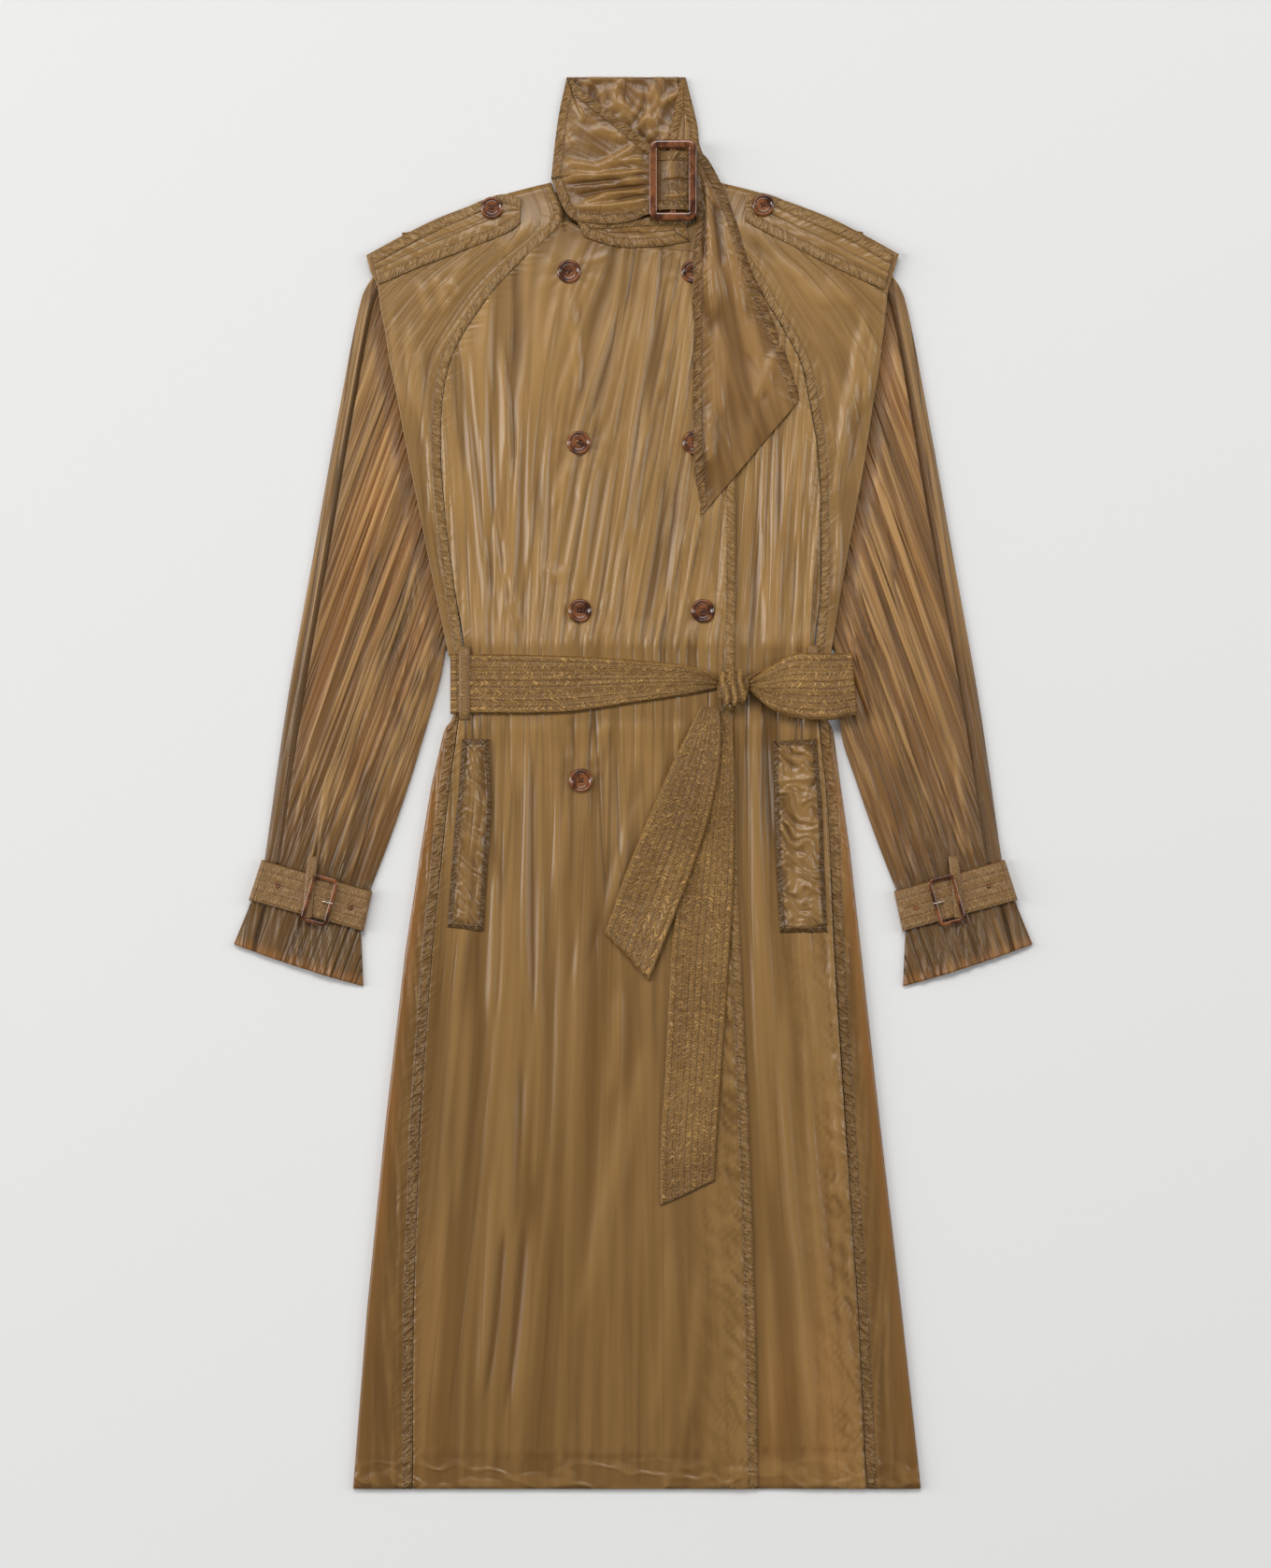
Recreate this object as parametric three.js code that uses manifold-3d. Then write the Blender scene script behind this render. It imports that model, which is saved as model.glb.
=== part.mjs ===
// A long nylon trench coat, laid flat on its back with the front upwards. Sizes are millimetres.
// X runs across the coat, Y from the hem up to the collar, Z up from the surface that it lies on.
// "Right" and "left" are the wearer's, so the right side has negative X.
import * as THREE from 'three';
import Module from 'manifold-3d';
import { mergeVertices } from 'three/addons/utils/BufferGeometryUtils.js';

const wasm = await Module();
wasm.setup();

// Thicknesses of the cloth and the clear spaces between its layers.
const clothWall = 1.2;
const doubledWall = 1.6;
const beltWall = 2.4;
const seamGap = 0.4;
const layerGap = 0.4;
const trimGap = 0.3;

// Heights of the middle of the front's cloth above the surface.
const skirtHeight = 5.2;
const chestHeight = 6.2;
const wingEdgeHeight = 6.9;
const beltRise = 2.8;
const underlap = 1.8;

// Places along Y.
const hemY = -650;
const beltTopY = 118;
const beltBottomY = 63;
const wingBottomY = 123;

const pieces = new THREE.Group();
pieces.name = 'trench_coat';

const cloth = { color: 0x967750, roughness: 0.45, metalness: 0 };
const sleeveCloth = { color: 0x8f6a3f, roughness: 0.45, metalness: 0 };
const stitchedCloth = { color: 0x84623b, roughness: 0.6, metalness: 0 };
const collarCloth = { color: 0x8b683f, roughness: 0.45, metalness: 0 };
const horn = { color: 0x68432a, roughness: 0.2, metalness: 0 };
const steel = { color: 0xb8a594, roughness: 0.3, metalness: 1 };

function addPiece(name, geometry, look) {
  const mesh = new THREE.Mesh(geometry, new THREE.MeshStandardMaterial(look));
  mesh.name = name;
  pieces.add(mesh);
  return mesh;
}

// Rows of numbers as objects with named columns.
function table(columns, rows) {
  const names = columns.split(' ');
  return rows.map((row) => Object.fromEntries(names.map((name, i) => [name, row[i]])));
}

function mix(a, b, t) {
  return a + (b - a) * t;
}

function smooth(t) {
  const clamped = Math.min(1, Math.max(0, t));
  return clamped * clamped * (3 - 2 * clamped);
}

// 1 between low and high, fading to 0 over the ramp on either side.
function plateau(value, low, high, ramp) {
  return smooth((value - low) / ramp + 1) * smooth((high - value) / ramp + 1);
}

// A value read from a table, straight between its rows, which go down in the key column.
function readTable(rows, key, column, at) {
  const next = rows.findIndex((row) => row[key] <= at);
  if (next === 0) return rows[0][column];
  if (next < 0) return rows[rows.length - 1][column];
  const above = rows[next - 1];
  const below = rows[next];
  return mix(above[column], below[column], (above[key] - at) / (above[key] - below[key]));
}

// A smooth plan line through points, read with a fraction that steps evenly from point to point.
function line(points) {
  const ends = points.map(([x, y]) => new THREE.Vector3(x, y, 0));
  if (ends.length === 2) return (t) => ends[0].clone().lerp(ends[1], t);
  const curve = new THREE.CatmullRomCurve3(ends, false, 'centripetal');
  return (t) => curve.getPoint(Math.min(1, Math.max(0, t)));
}

// The same line, read with a fraction of its length.
function evenLine(points) {
  const curve = new THREE.CatmullRomCurve3(
    points.map(([x, y]) => new THREE.Vector3(x, y, 0)), false, 'centripetal');
  return (t) => curve.getPointAt(Math.min(1, Math.max(0, t)));
}

// The plan of a panel between four edges: u runs from left to right and v from top to bottom.
function panel(left, right, top, bottom) {
  return (u, v) => {
    const across = left(v).lerp(right(v), u);
    for (const [edge, weight, row] of [[top, 1 - v, 0], [bottom, v, 1]]) {
      if (!edge) continue;
      const straight = left(row).lerp(right(row), u);
      across.addScaledVector(edge(u).sub(straight), weight);
    }
    return across;
  };
}

function steps(count) {
  return Array.from({ length: count + 1 }, (_, i) => i / count);
}

// A grid of points: the plan of a panel, each point at its height above the surface. Columns and
// rows are evenly spaced, or at the fractions given.
function sheet(plan, height, columns, rows) {
  const acrossStops = Array.isArray(columns) ? columns : steps(columns);
  const downStops = Array.isArray(rows) ? rows : steps(rows);
  return downStops.map((v) => acrossStops.map((u) => {
    const point = plan(u, v);
    point.z = height(point.x, point.y, u, v);
    return point;
  }));
}

// Half a turn of cloth from one height to another, outwards past centre, on a side of the piece.
function bend(centre, outward, fromZ, toZ, turnSteps = 4) {
  const radius = Math.abs(toZ - fromZ) / 2;
  const middle = (fromZ + toZ) / 2;
  const way = Math.sign(toZ - fromZ);
  return steps(turnSteps).map((t) => {
    const angle = Math.PI * (t - 0.5);
    const point = centre.clone().addScaledVector(outward, radius * Math.cos(angle));
    point.z = middle + way * radius * Math.sin(angle);
    return point;
  });
}

// A closed wall of even thickness round a grid of middle points. A ring's columns close on themselves.
function shell(grid, thickness, ring = false) {
  const rows = grid.length;
  const columns = grid[0].length;
  const column = (u) => (ring ? (u + columns) % columns : Math.min(columns - 1, Math.max(0, u)));
  const row = (v) => Math.min(rows - 1, Math.max(0, v));
  const positions = [];
  for (const side of [0.5, -0.5]) {
    for (let v = 0; v < rows; v += 1) {
      for (let u = 0; u < columns; u += 1) {
        const across = grid[v][column(u + 1)].clone().sub(grid[v][column(u - 1)]);
        const along = grid[row(v + 1)][u].clone().sub(grid[row(v - 1)][u]);
        const normal = across.cross(along).normalize();
        const point = grid[v][u].clone().addScaledVector(normal, side * thickness);
        positions.push(point.x, point.y, point.z);
      }
    }
  }
  const outer = (v, u) => v * columns + column(u);
  const inner = (v, u) => rows * columns + outer(v, u);
  const faces = [];
  const quad = (a, b, c, d) => faces.push(a, b, c, a, c, d);
  const spans = ring ? columns : columns - 1;
  for (let v = 0; v < rows - 1; v += 1) {
    for (let u = 0; u < spans; u += 1) {
      quad(outer(v, u), outer(v, u + 1), outer(v + 1, u + 1), outer(v + 1, u));
      faces.push(inner(v, u), inner(v + 1, u + 1), inner(v, u + 1));
      faces.push(inner(v, u), inner(v + 1, u), inner(v + 1, u + 1));
    }
    if (!ring) {
      const last = columns - 1;
      quad(outer(v + 1, last), outer(v, last), inner(v, last), inner(v + 1, last));
      quad(outer(v, 0), outer(v + 1, 0), inner(v + 1, 0), inner(v, 0));
    }
  }
  for (let u = 0; u < spans; u += 1) {
    const last = rows - 1;
    quad(outer(0, u + 1), outer(0, u), inner(0, u), inner(0, u + 1));
    quad(outer(last, u), outer(last, u + 1), inner(last, u + 1), inner(last, u));
  }
  const geometry = new THREE.BufferGeometry();
  geometry.setAttribute('position', new THREE.Float32BufferAttribute(positions, 3));
  geometry.setIndex(faces);
  geometry.computeVertexNormals();
  return geometry;
}

// The height of the highest middle point of some grids at a place, or nothing where none lies there.
function heightOn(grids, x, y) {
  let best = -Infinity;
  const triangle = (a, b, c) => {
    const area = (b.x - a.x) * (c.y - a.y) - (c.x - a.x) * (b.y - a.y);
    const s = ((x - a.x) * (c.y - a.y) - (c.x - a.x) * (y - a.y)) / area;
    const t = ((b.x - a.x) * (y - a.y) - (x - a.x) * (b.y - a.y)) / area;
    if (s >= 0 && t >= 0 && s + t <= 1) best = Math.max(best, a.z + s * (b.z - a.z) + t * (c.z - a.z));
  };
  for (const grid of grids) {
    for (let v = 0; v < grid.length - 1; v += 1) {
      for (let u = 0; u < grid[v].length - 1; u += 1) {
        triangle(grid[v][u], grid[v][u + 1], grid[v + 1][u + 1]);
        triangle(grid[v][u], grid[v + 1][u + 1], grid[v + 1][u]);
      }
    }
  }
  return best;
}

// The upper face of some cloth grids over a spot of a given radius, its highest place. Past their
// edges it is the plain level of the front.
function topOver(grids, x, y, radius, wall = clothWall) {
  let best = heightOn(grids, x, y);
  for (const turn of steps(8)) {
    const angle = 2 * Math.PI * turn;
    best = Math.max(best, heightOn(grids, x + radius * Math.cos(angle), y + radius * Math.sin(angle)));
  }
  return (Number.isFinite(best) ? best : frontBase(y)) + wall / 2;
}

// The front's largest folds: soft ridges along straight lines, from an upper to a lower point.
const frontFolds = table('topX topY lowX lowY width height', [
  [-52, 452, -118, 175, 9, 1.3],
  [-38, 448, -84, 165, 8, 1.5],
  [5, 440, -52, 170, 9, 1.4],
  [34, 430, -8, 170, 9, 1.6],
  [52, 300, 34, 165, 8, 1.2],
  [-150, 330, -140, 165, 8, 1.3],
  [130, 400, 122, 165, 8, 1.3],
  [150, 330, 148, 165, 6, 1.1],
  [-112, 40, -128, -330, 9, 1.6],
  [-76, 40, -92, -420, 8, 1.5],
  [-48, 30, -62, -560, 10, 1.6],
  [-12, 40, -26, -600, 9, 1.4],
  [24, 30, 10, -560, 10, 1.6],
  [60, -190, 52, -600, 11, 1.5],
  [118, 40, 128, -330, 7, 1.2],
  [140, -160, 152, -560, 9, 1.4],
  [172, -200, 186, -600, 8, 1.3],
  [-150, -160, -172, -600, 9, 1.4],
]);

function foldHeight(x, y) {
  let total = 0;
  for (const fold of frontFolds) {
    const along = (fold.topY - y) / (fold.topY - fold.lowY);
    const middle = mix(fold.topX, fold.lowX, along);
    const fade = smooth(along * 5) * smooth((1 - along) * 5);
    total += fold.height * fade * Math.exp(-(((x - middle) / fold.width) ** 2));
  }
  return total;
}

// The height of the back's lying layer, which passes over the belt's back stretch.
function backHeight(y) {
  return clothWall / 2 + beltRise * plateau(y, beltBottomY - 4, beltTopY + 4, 12);
}

function frontBase(y) {
  const plain = mix(skirtHeight, chestHeight, smooth((y - beltTopY) / 150));
  return plain + (beltRise - 0.4) * plateau(y, beltBottomY - 6, beltTopY + 6, 30);
}

function frontHeight(x, y) {
  return frontBase(y) + foldHeight(x, y);
}

// Front right, on top: its seam to the sleeve panel and the back, and its free overlapping edge.
const frontRightRows = table('seamX seamY edgeX edgeY', [
  [-65, 519, 86, 488], [-100, 483, 94, 460], [-124, 458, 94, 440], [-144, 431, 94, 418],
  [-163, 400, 94, 392], [-172, 372, 94, 368], [-177, 316, 94, 314], [-173, 250, 94, 250],
  [-165, 185, 94, 185], [-155, 118, 93, 116], [-160, 63, 92, 63], [-170, -11, 93, -11],
  [-175, -58, 95, -58], [-185, -157, 99, -157], [-196, -312, 106, -312], [-202, -484, 112, -484],
  [-203, hemY, 115, hemY],
]);
const neckDipRight = [[-65, 519], [-52, 513], [-17, 497], [30, 491], [86, 488]];

// Front left, underneath: its hidden edge and its seam.
const frontLeftRows = table('edgeX edgeY seamX seamY', [
  [-80, 484, 68, 517], [-80, 460, 103, 475], [-80, 438, 127, 435], [-80, 410, 142, 410],
  [-80, 386, 154, 386], [-80, 345, 163, 345], [-80, 298, 170, 298], [-80, 238, 172, 238],
  [-80, 176, 172, 176], [-79, 118, 166, 118], [-79, 63, 170, 63], [-79, -11, 178, -11],
  [-80, -58, 181, -58], [-84, -157, 185, -157], [-92, -312, 195, -312], [-97, -484, 207, -484],
  [-100, hemY, 215, hemY],
]);

// Both fronts have a row of points at each row of their tables, and between the long lower ones.
const tableRows = frontRightRows.length - 1;
const halvedFrom = 12;
const frontStops = [];
for (let stop = 0; stop <= tableRows; stop += stop < halvedFrom ? 1 : 0.5) frontStops.push(stop / tableRows);

const seamOf = (rows, inward) => line(rows.map((row) => [row.seamX + inward * seamGap, row.seamY]));
const edgeOf = (rows) => line(rows.map((row) => [row.edgeX, row.edgeY]));

const frontRight = sheet(
  panel(seamOf(frontRightRows, 1), edgeOf(frontRightRows), line(neckDipRight)),
  frontHeight, 15, frontStops);
addPiece('front_right', shell(frontRight, clothWall), cloth);

// The under front lies below the upper one, and comes up to its level past the upper one's edge.
function underFrontHeight(x, y) {
  const past = x - readTable(frontRightRows, 'edgeY', 'edgeX', y);
  const open = smooth((past - 6) / 45);
  return frontBase(y) - underlap * (1 - open) + foldHeight(x, y) * smooth((past - 4) / 14);
}
const frontLeft = sheet(
  panel(edgeOf(frontLeftRows), seamOf(frontLeftRows, -1)), underFrontHeight, 14, frontStops);
addPiece('front_left', shell(frontLeft, clothWall), cloth);
const fronts = [frontRight, frontLeft];

// The shoulder panels between the raglan seam and a free folded edge that covers the sleeve's head.
const wingRightRows = table('seamX seamY edgeX edgeY', [
  [-75, 553, -246, 485], [-65, 519, -242, 470], [-100, 483, -236, 457], [-124, 458, -233, 436],
  [-144, 431, -229, 415], [-163, 400, -225, 389], [-172, 372, -218, 355], [-177, 316, -209, 307],
  [-173, 250, -197, 247], [-165, 185, -184, 182], [-155, wingBottomY, -168, wingBottomY],
]);
const wingLeftRows = table('seamX seamY edgeX edgeY', [
  [79, 553, 245, 486], [68, 517, 240, 469], [103, 475, 235, 452], [127, 435, 233, 431],
  [142, 410, 230, 406], [154, 386, 227, 382], [163, 345, 221, 345], [170, 298, 214, 298],
  [172, 238, 203, 236], [172, 176, 192, 176], [166, wingBottomY, 180, wingBottomY],
]);
const wingReturn = 25;
const wingTurn = 2.2;
const returnLow = 4.4;
const armholeInset = 30;
// The shoulder line bows upwards between the neck and the shoulder's end; so does the next row, less.
const shoulderBow = [8.5, 4];

function wingHeight(u, v, y) {
  const seam = frontBase(y);
  const shoulderDrop = (1 - smooth(v / 0.13)) * (1 - smooth((u - 0.45) / 0.2));
  const crease = 1.3 * Math.sin(Math.PI * v) ** 2 * Math.sin(3 * Math.PI * u) ** 2 * (1 - u) * smooth(u * 4);
  const low = clothWall + seamGap + clothWall / 2;
  return mix(mix(seam, Math.max(seam, wingEdgeHeight), smooth(u * 1.3)) + crease, low, shoulderDrop);
}

// A wing's rows start from the front's own points along the seam, moved off by the seam's gap.
function wingGrid(rows, side, front, seamColumn) {
  const last = rows[rows.length - 1];
  const seam = [new THREE.Vector3(rows[0].seamX, rows[0].seamY, 0)];
  for (let i = 0; i < rows.length - 2; i += 1) seam.push(front[i][seamColumn].clone());
  const above = seam[seam.length - 1];
  const below = front[rows.length - 2][seamColumn];
  seam.push(above.clone().lerp(below, (above.y - last.seamY) / (above.y - below.y)));
  return seam.map((from, i) => {
    from.z = 0;
    const v = i / (rows.length - 1);
    const to = new THREE.Vector3(rows[i].edgeX - side * clothWall / 2, rows[i].edgeY, 0);
    const length = from.distanceTo(to);
    const outward = to.clone().sub(from).normalize();
    const radius = wingTurn / 2;
    const run = length - radius - seamGap;
    const top = steps(8).map((u) => {
      const point = from.clone().addScaledVector(outward, 2 * seamGap + (run - seamGap) * u);
      point.z = wingHeight(u, v, point.y);
      return point;
    });
    const edge = top[top.length - 1];
    const turn = bend(edge.clone(), outward, edge.z, edge.z - wingTurn);
    const back = Math.min(wingReturn, 0.65 * length);
    const under = steps(3).map((t) => {
      const point = edge.clone().addScaledVector(outward, -back * t);
      const over = heightAlong(top, point, from);
      point.z = Math.max(over - wingTurn, Math.min(returnLow, over - 1.6));
      return point;
    });
    const row = [...top, ...turn.slice(1, -1), ...under];
    for (const point of row) {
      const share = Math.min(1, Math.hypot(point.x - from.x, point.y - from.y) / length);
      point.y += (shoulderBow[i] ?? 0) * Math.sin(Math.PI * share);
    }
    return row;
  });
}

// The height of a row of points at the distance of a place from the row's start.
function heightAlong(row, place, start) {
  const reach = place.distanceTo(new THREE.Vector3(start.x, start.y, place.z));
  for (let i = 1; i < row.length; i += 1) {
    const near = Math.hypot(row[i - 1].x - start.x, row[i - 1].y - start.y);
    const far = Math.hypot(row[i].x - start.x, row[i].y - start.y);
    if (reach <= far) return mix(row[i - 1].z, row[i].z, Math.max(0, (reach - near) / (far - near)));
  }
  return row[row.length - 1].z;
}

const wingRight = wingGrid(wingRightRows, -1, frontRight, 0);
const wingLeft = wingGrid(wingLeftRows, 1, frontLeft, frontLeft[0].length - 1);
addPiece('wing_right', shell(wingRight, clothWall), cloth);
addPiece('wing_left', shell(wingLeft, clothWall), cloth);

// The armhole under each wing, where sleeve and back meet.
function armholeOf(rows) {
  return rows.map((row) => {
    const length = Math.hypot(row.seamX - row.edgeX, row.seamY - row.edgeY);
    const inset = Math.min(armholeInset, 0.8 * length) / length;
    return [mix(row.edgeX, row.seamX, inset), mix(row.edgeY, row.seamY, inset)];
  });
}
const armholes = { right: armholeOf(wingRightRows), left: armholeOf(wingLeftRows) };

// The back below the waist: its outer folds, and the front seams where it ends on the upper side.
const skirtRows = table('y rightFold leftFold', [
  [beltTopY, -164.5, 176.5], [60, -165, 177.5], [49, -174, 184], [-3, -186, 191], [-58, -195, 199],
  [-157, -210, 210], [-312, -228, 227], [-484, -245, 247], [hemY, -258, 265],
]);
const armholeFold = 6;
const armholeTurn = 2.2;
const armholeGap = 3;

// One row of the back, from its right free edge round underneath to its left free edge.
function backRow(right, left, rightReturn, leftReturn, lowZ, highAt) {
  const rowPoint = (fold, sign, distance) => new THREE.Vector3(fold.x - sign * distance, fold.y, 0);
  const side = (fold, sign, reach) => {
    const highZ = highAt(fold.x - sign * reach * 0.5, fold.y);
    const radius = (highZ - lowZ) / 2;
    const inside = clothWall / 2 + radius;
    const outward = new THREE.Vector3(sign, 0, 0);
    const turn = bend(rowPoint(fold, sign, inside), outward, highZ, lowZ, 3);
    const upper = steps(4).slice(0, -1).map((t) => {
      const point = rowPoint(fold, sign, mix(Math.max(reach, inside + 2), inside, t));
      point.z = mix(highAt(point.x, point.y), highZ, t ** 4);
      return point;
    });
    return [...upper, ...turn];
  };
  const rightSide = side(right, -1, rightReturn);
  const leftSide = side(left, 1, leftReturn).reverse();
  const from = rightSide[rightSide.length - 1];
  const to = leftSide[0];
  const middle = steps(4).slice(1, -1).map((t) => from.clone().lerp(to, t));
  return [...rightSide, ...middle, ...leftSide];
}

const neckDip = 9;
const backUpper = armholes.right.map(([x, y], i) => {
  const [leftX, leftY] = armholes.left[i];
  const row = backRow({ x: x + armholeGap, y }, { x: leftX - armholeGap, y: leftY }, armholeFold, armholeFold,
    backHeight(y), () => backHeight(y) + armholeTurn);
  for (const point of row) {
    const t = (point.x - x) / (leftX - x);
    const raised = i === 0 ? 1 - smooth((Math.abs(point.x) - 70) / 150) : 0;
    point.y = mix(y, leftY, t) + raised * (553 - y) - (i === 0 ? neckDip * plateau(point.x, -40, 40, 45) : 0);
  }
  return row;
});
function columnX(grid, column, y) {
  const rows = grid.map((row) => ({ x: row[column].x, y: row[column].y }));
  return readTable(rows, 'y', 'x', y);
}
const waistRow = 9;
const skirtLevels = frontRight.slice(waistRow).map((row) => row[0].y);
skirtLevels.splice(2, 0, 60, 49);
const backSkirt = skirtLevels.map((y) => {
  const right = readTable(skirtRows, 'y', 'rightFold', y);
  const left = readTable(skirtRows, 'y', 'leftFold', y);
  const rightSeam = columnX(frontRight, 0, y) - 2 * seamGap;
  const leftSeam = columnX(frontLeft, frontLeft[0].length - 1, y) + 2 * seamGap;
  return backRow({ x: right, y }, { x: left, y }, rightSeam - right, left - leftSeam, backHeight(y), frontHeight);
});
// Between armhole and waist the back first spreads under the front's level and then comes up to it.
const spread = backRow({ x: skirtRows[0].rightFold, y: 120.5 }, { x: skirtRows[0].leftFold, y: 120.5 },
  8, 8, backHeight(120.5), () => backHeight(120.5) + armholeTurn);
const back = [...backUpper, spread, ...backSkirt];
addPiece('back', shell(back, clothWall), cloth);

// The cuffs: the strap's corners at the sleeve's two sides and the frill's end below it.
const cuff = {
  outerTop: [342, -71], innerTop: [240, -100], outerLow: [354, -108], innerLow: [248, -137],
};
const frillEnd = [[369, -148.5], [332, -162], [299, -172.5], [275, -180], [248, -187.5]];
const strapInset = doubledWall + layerGap + clothWall / 2;
const sleeveTurn = 2.2;
const sleeveFolds = 9;
const foldColumns = 3;

// One sleeve as rings from the armhole to the frill's end; the strap draws it in near the hand.
function sleeveGrid(side, armhole, waistX, wingRows) {
  const at = ([x, y]) => [side * x, y];
  const crown = [[side * 221, 482], ...armhole.slice(1, -1), [armhole[armhole.length - 1][0], wingBottomY + 4]];
  const outer = evenLine([crown[0], at([236, 469]), at([247.5, 452]), at([252.5, 436]), at([272.5, 333]),
    at([295.5, 204]), at([318.5, 75]), at([cuff.outerTop[0] - strapInset, cuff.outerTop[1]])]);
  const inner = evenLine([crown[crown.length - 1], [waistX + side * 1.2, wingBottomY + 1], [waistX + side * 4, 112],
    [waistX + side * 8, 92], at([190.5, 49]), at([206.5, -3]), at([224.5, -54]),
    at([cuff.innerTop[0] + strapInset, cuff.innerTop[1]])]);
  const upperArm = panel(outer, inner, line(crown));
  const strapLine = (from, to) => line([
    at([from[0] - strapInset, from[1]]), at([to[0] + strapInset, to[1]])]);
  const cuffLines = [strapLine(cuff.outerTop, cuff.innerTop), strapLine(cuff.outerLow, cuff.innerLow),
    line(frillEnd.map(([x, y]) => at([x - 0.6 * Math.sign(x - 300), y])))];
  const plan = (u, t) => {
    if (t > 1) {
      const stage = Math.min(1, Math.floor(t - 1));
      return cuffLines[stage](u).lerp(cuffLines[stage + 1](u), t - 1 - stage);
    }
    return upperArm(u, t);
  };
  const rings = [0, 0.07, 0.15, 0.26, 0.42, 0.6, 0.8, 1, 2, 2.4, 3];
  return rings.map((t) => {
    const drawn = plateau(t, 1, 2, 0.3);
    const low = clothWall / 2 + drawn * (doubledWall + layerGap);
    const columns = sleeveFolds * foldColumns;
    const clearOfWing = (point) => {
      if (point.y < beltTopY) return 1;
      const edge = readTable(wingRows, 'edgeY', 'edgeX', point.y);
      return smooth((side * (point.x - edge) - 4) / 22);
    };
    const free = t > 1 ? 1 : smooth(t / 0.12);
    const frill = smooth(t - 2);
    const height = (u, point) => {
      const wave = 0.5 - 0.5 * Math.cos(2 * Math.PI * sleeveFolds * u);
      const loft = 1.2 * Math.sin(Math.PI * u) ** 0.6 * (1 - drawn * 0.8);
      const size = mix(mix(1.5, 0.6, drawn), 2.2, frill);
      return low + sleeveTurn + free * clearOfWing(point) * (loft + size * wave);
    };
    const edges = [plan(0, t), plan(1, t)];
    const inwards = [plan(0.02, t).sub(edges[0]).normalize(), plan(0.98, t).sub(edges[1]).normalize()];
    const place = (u) => {
      const inset = sleeveTurn / edges[0].distanceTo(edges[1]);
      return plan(mix(inset, 1 - inset, u), t);
    };
    const bottom = steps(4).map((u) => {
      const point = place(u);
      point.z = low;
      return point;
    });
    const top = steps(columns).reverse().map((u) => {
      const point = place(u);
      point.z = height(u, point);
      return point;
    });
    const innerTurn = bend(place(1), inwards[1].clone().negate(), low, top[0].z, 3).slice(1, -1);
    const outerTurn = bend(place(0), inwards[0].clone().negate(), top[columns].z, low, 3).slice(1, -1);
    return [...bottom, ...innerTurn, ...top, ...outerTurn];
  });
}

const sleeves = {
  right: sleeveGrid(-1, armholes.right, -170, wingRightRows),
  left: sleeveGrid(1, armholes.left, 182.5, wingLeftRows),
};
addPiece('sleeve_right', shell(sleeves.right, clothWall, true), sleeveCloth);
addPiece('sleeve_left', shell(sleeves.left, clothWall, true), sleeveCloth);

// The strap that goes round each cuff, flat, with a rounded turn at either side.
const strapTopZ = 8.3;
function strapGrid(side) {
  const lines = [0, 0.5, 1].map((v) => ({
    outer: new THREE.Vector3(side * mix(cuff.outerTop[0], cuff.outerLow[0], v),
      mix(cuff.outerTop[1], cuff.outerLow[1], v), 0),
    inner: new THREE.Vector3(side * mix(cuff.innerTop[0], cuff.innerLow[0], v),
      mix(cuff.innerTop[1], cuff.innerLow[1], v), 0),
  }));
  return lines.map(({ outer, inner }) => {
    const low = doubledWall / 2;
    const radius = (strapTopZ - low) / 2;
    const outward = outer.clone().sub(inner).normalize();
    const from = outer.clone().addScaledVector(outward, -radius - low);
    const to = inner.clone().addScaledVector(outward, radius + low);
    const flat = (start, end, z) => steps(5).map((t) => start.clone().lerp(end, t).setZ(z));
    return [
      ...flat(from, to, low),
      ...bend(to, outward.clone().negate(), low, strapTopZ, 5).slice(1, -1),
      ...flat(to, from, strapTopZ),
      ...bend(from, outward, strapTopZ, low, 5).slice(1, -1),
    ];
  });
}

// A rectangular frame with round corners, flat at its own origin, cut through the middle.
function frameGeometry(width, height, bar, corner, depth) {
  const rounded = (shape, w, h, r) => {
    shape.moveTo(-w / 2 + r, -h / 2);
    shape.lineTo(w / 2 - r, -h / 2);
    shape.absarc(w / 2 - r, -h / 2 + r, r, -Math.PI / 2, 0, false);
    shape.lineTo(w / 2, h / 2 - r);
    shape.absarc(w / 2 - r, h / 2 - r, r, 0, Math.PI / 2, false);
    shape.lineTo(-w / 2 + r, h / 2);
    shape.absarc(-w / 2 + r, h / 2 - r, r, Math.PI / 2, Math.PI, false);
    shape.lineTo(-w / 2, -h / 2 + r);
    shape.absarc(-w / 2 + r, -h / 2 + r, r, Math.PI, 1.5 * Math.PI, false);
    return shape;
  };
  const outline = rounded(new THREE.Shape(), width, height, corner);
  outline.holes.push(rounded(new THREE.Path(), width - 2 * bar, height - 2 * bar, corner * 0.5));
  return new THREE.ExtrudeGeometry(outline, { depth, bevelEnabled: false, curveSegments: 3 });
}

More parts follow.
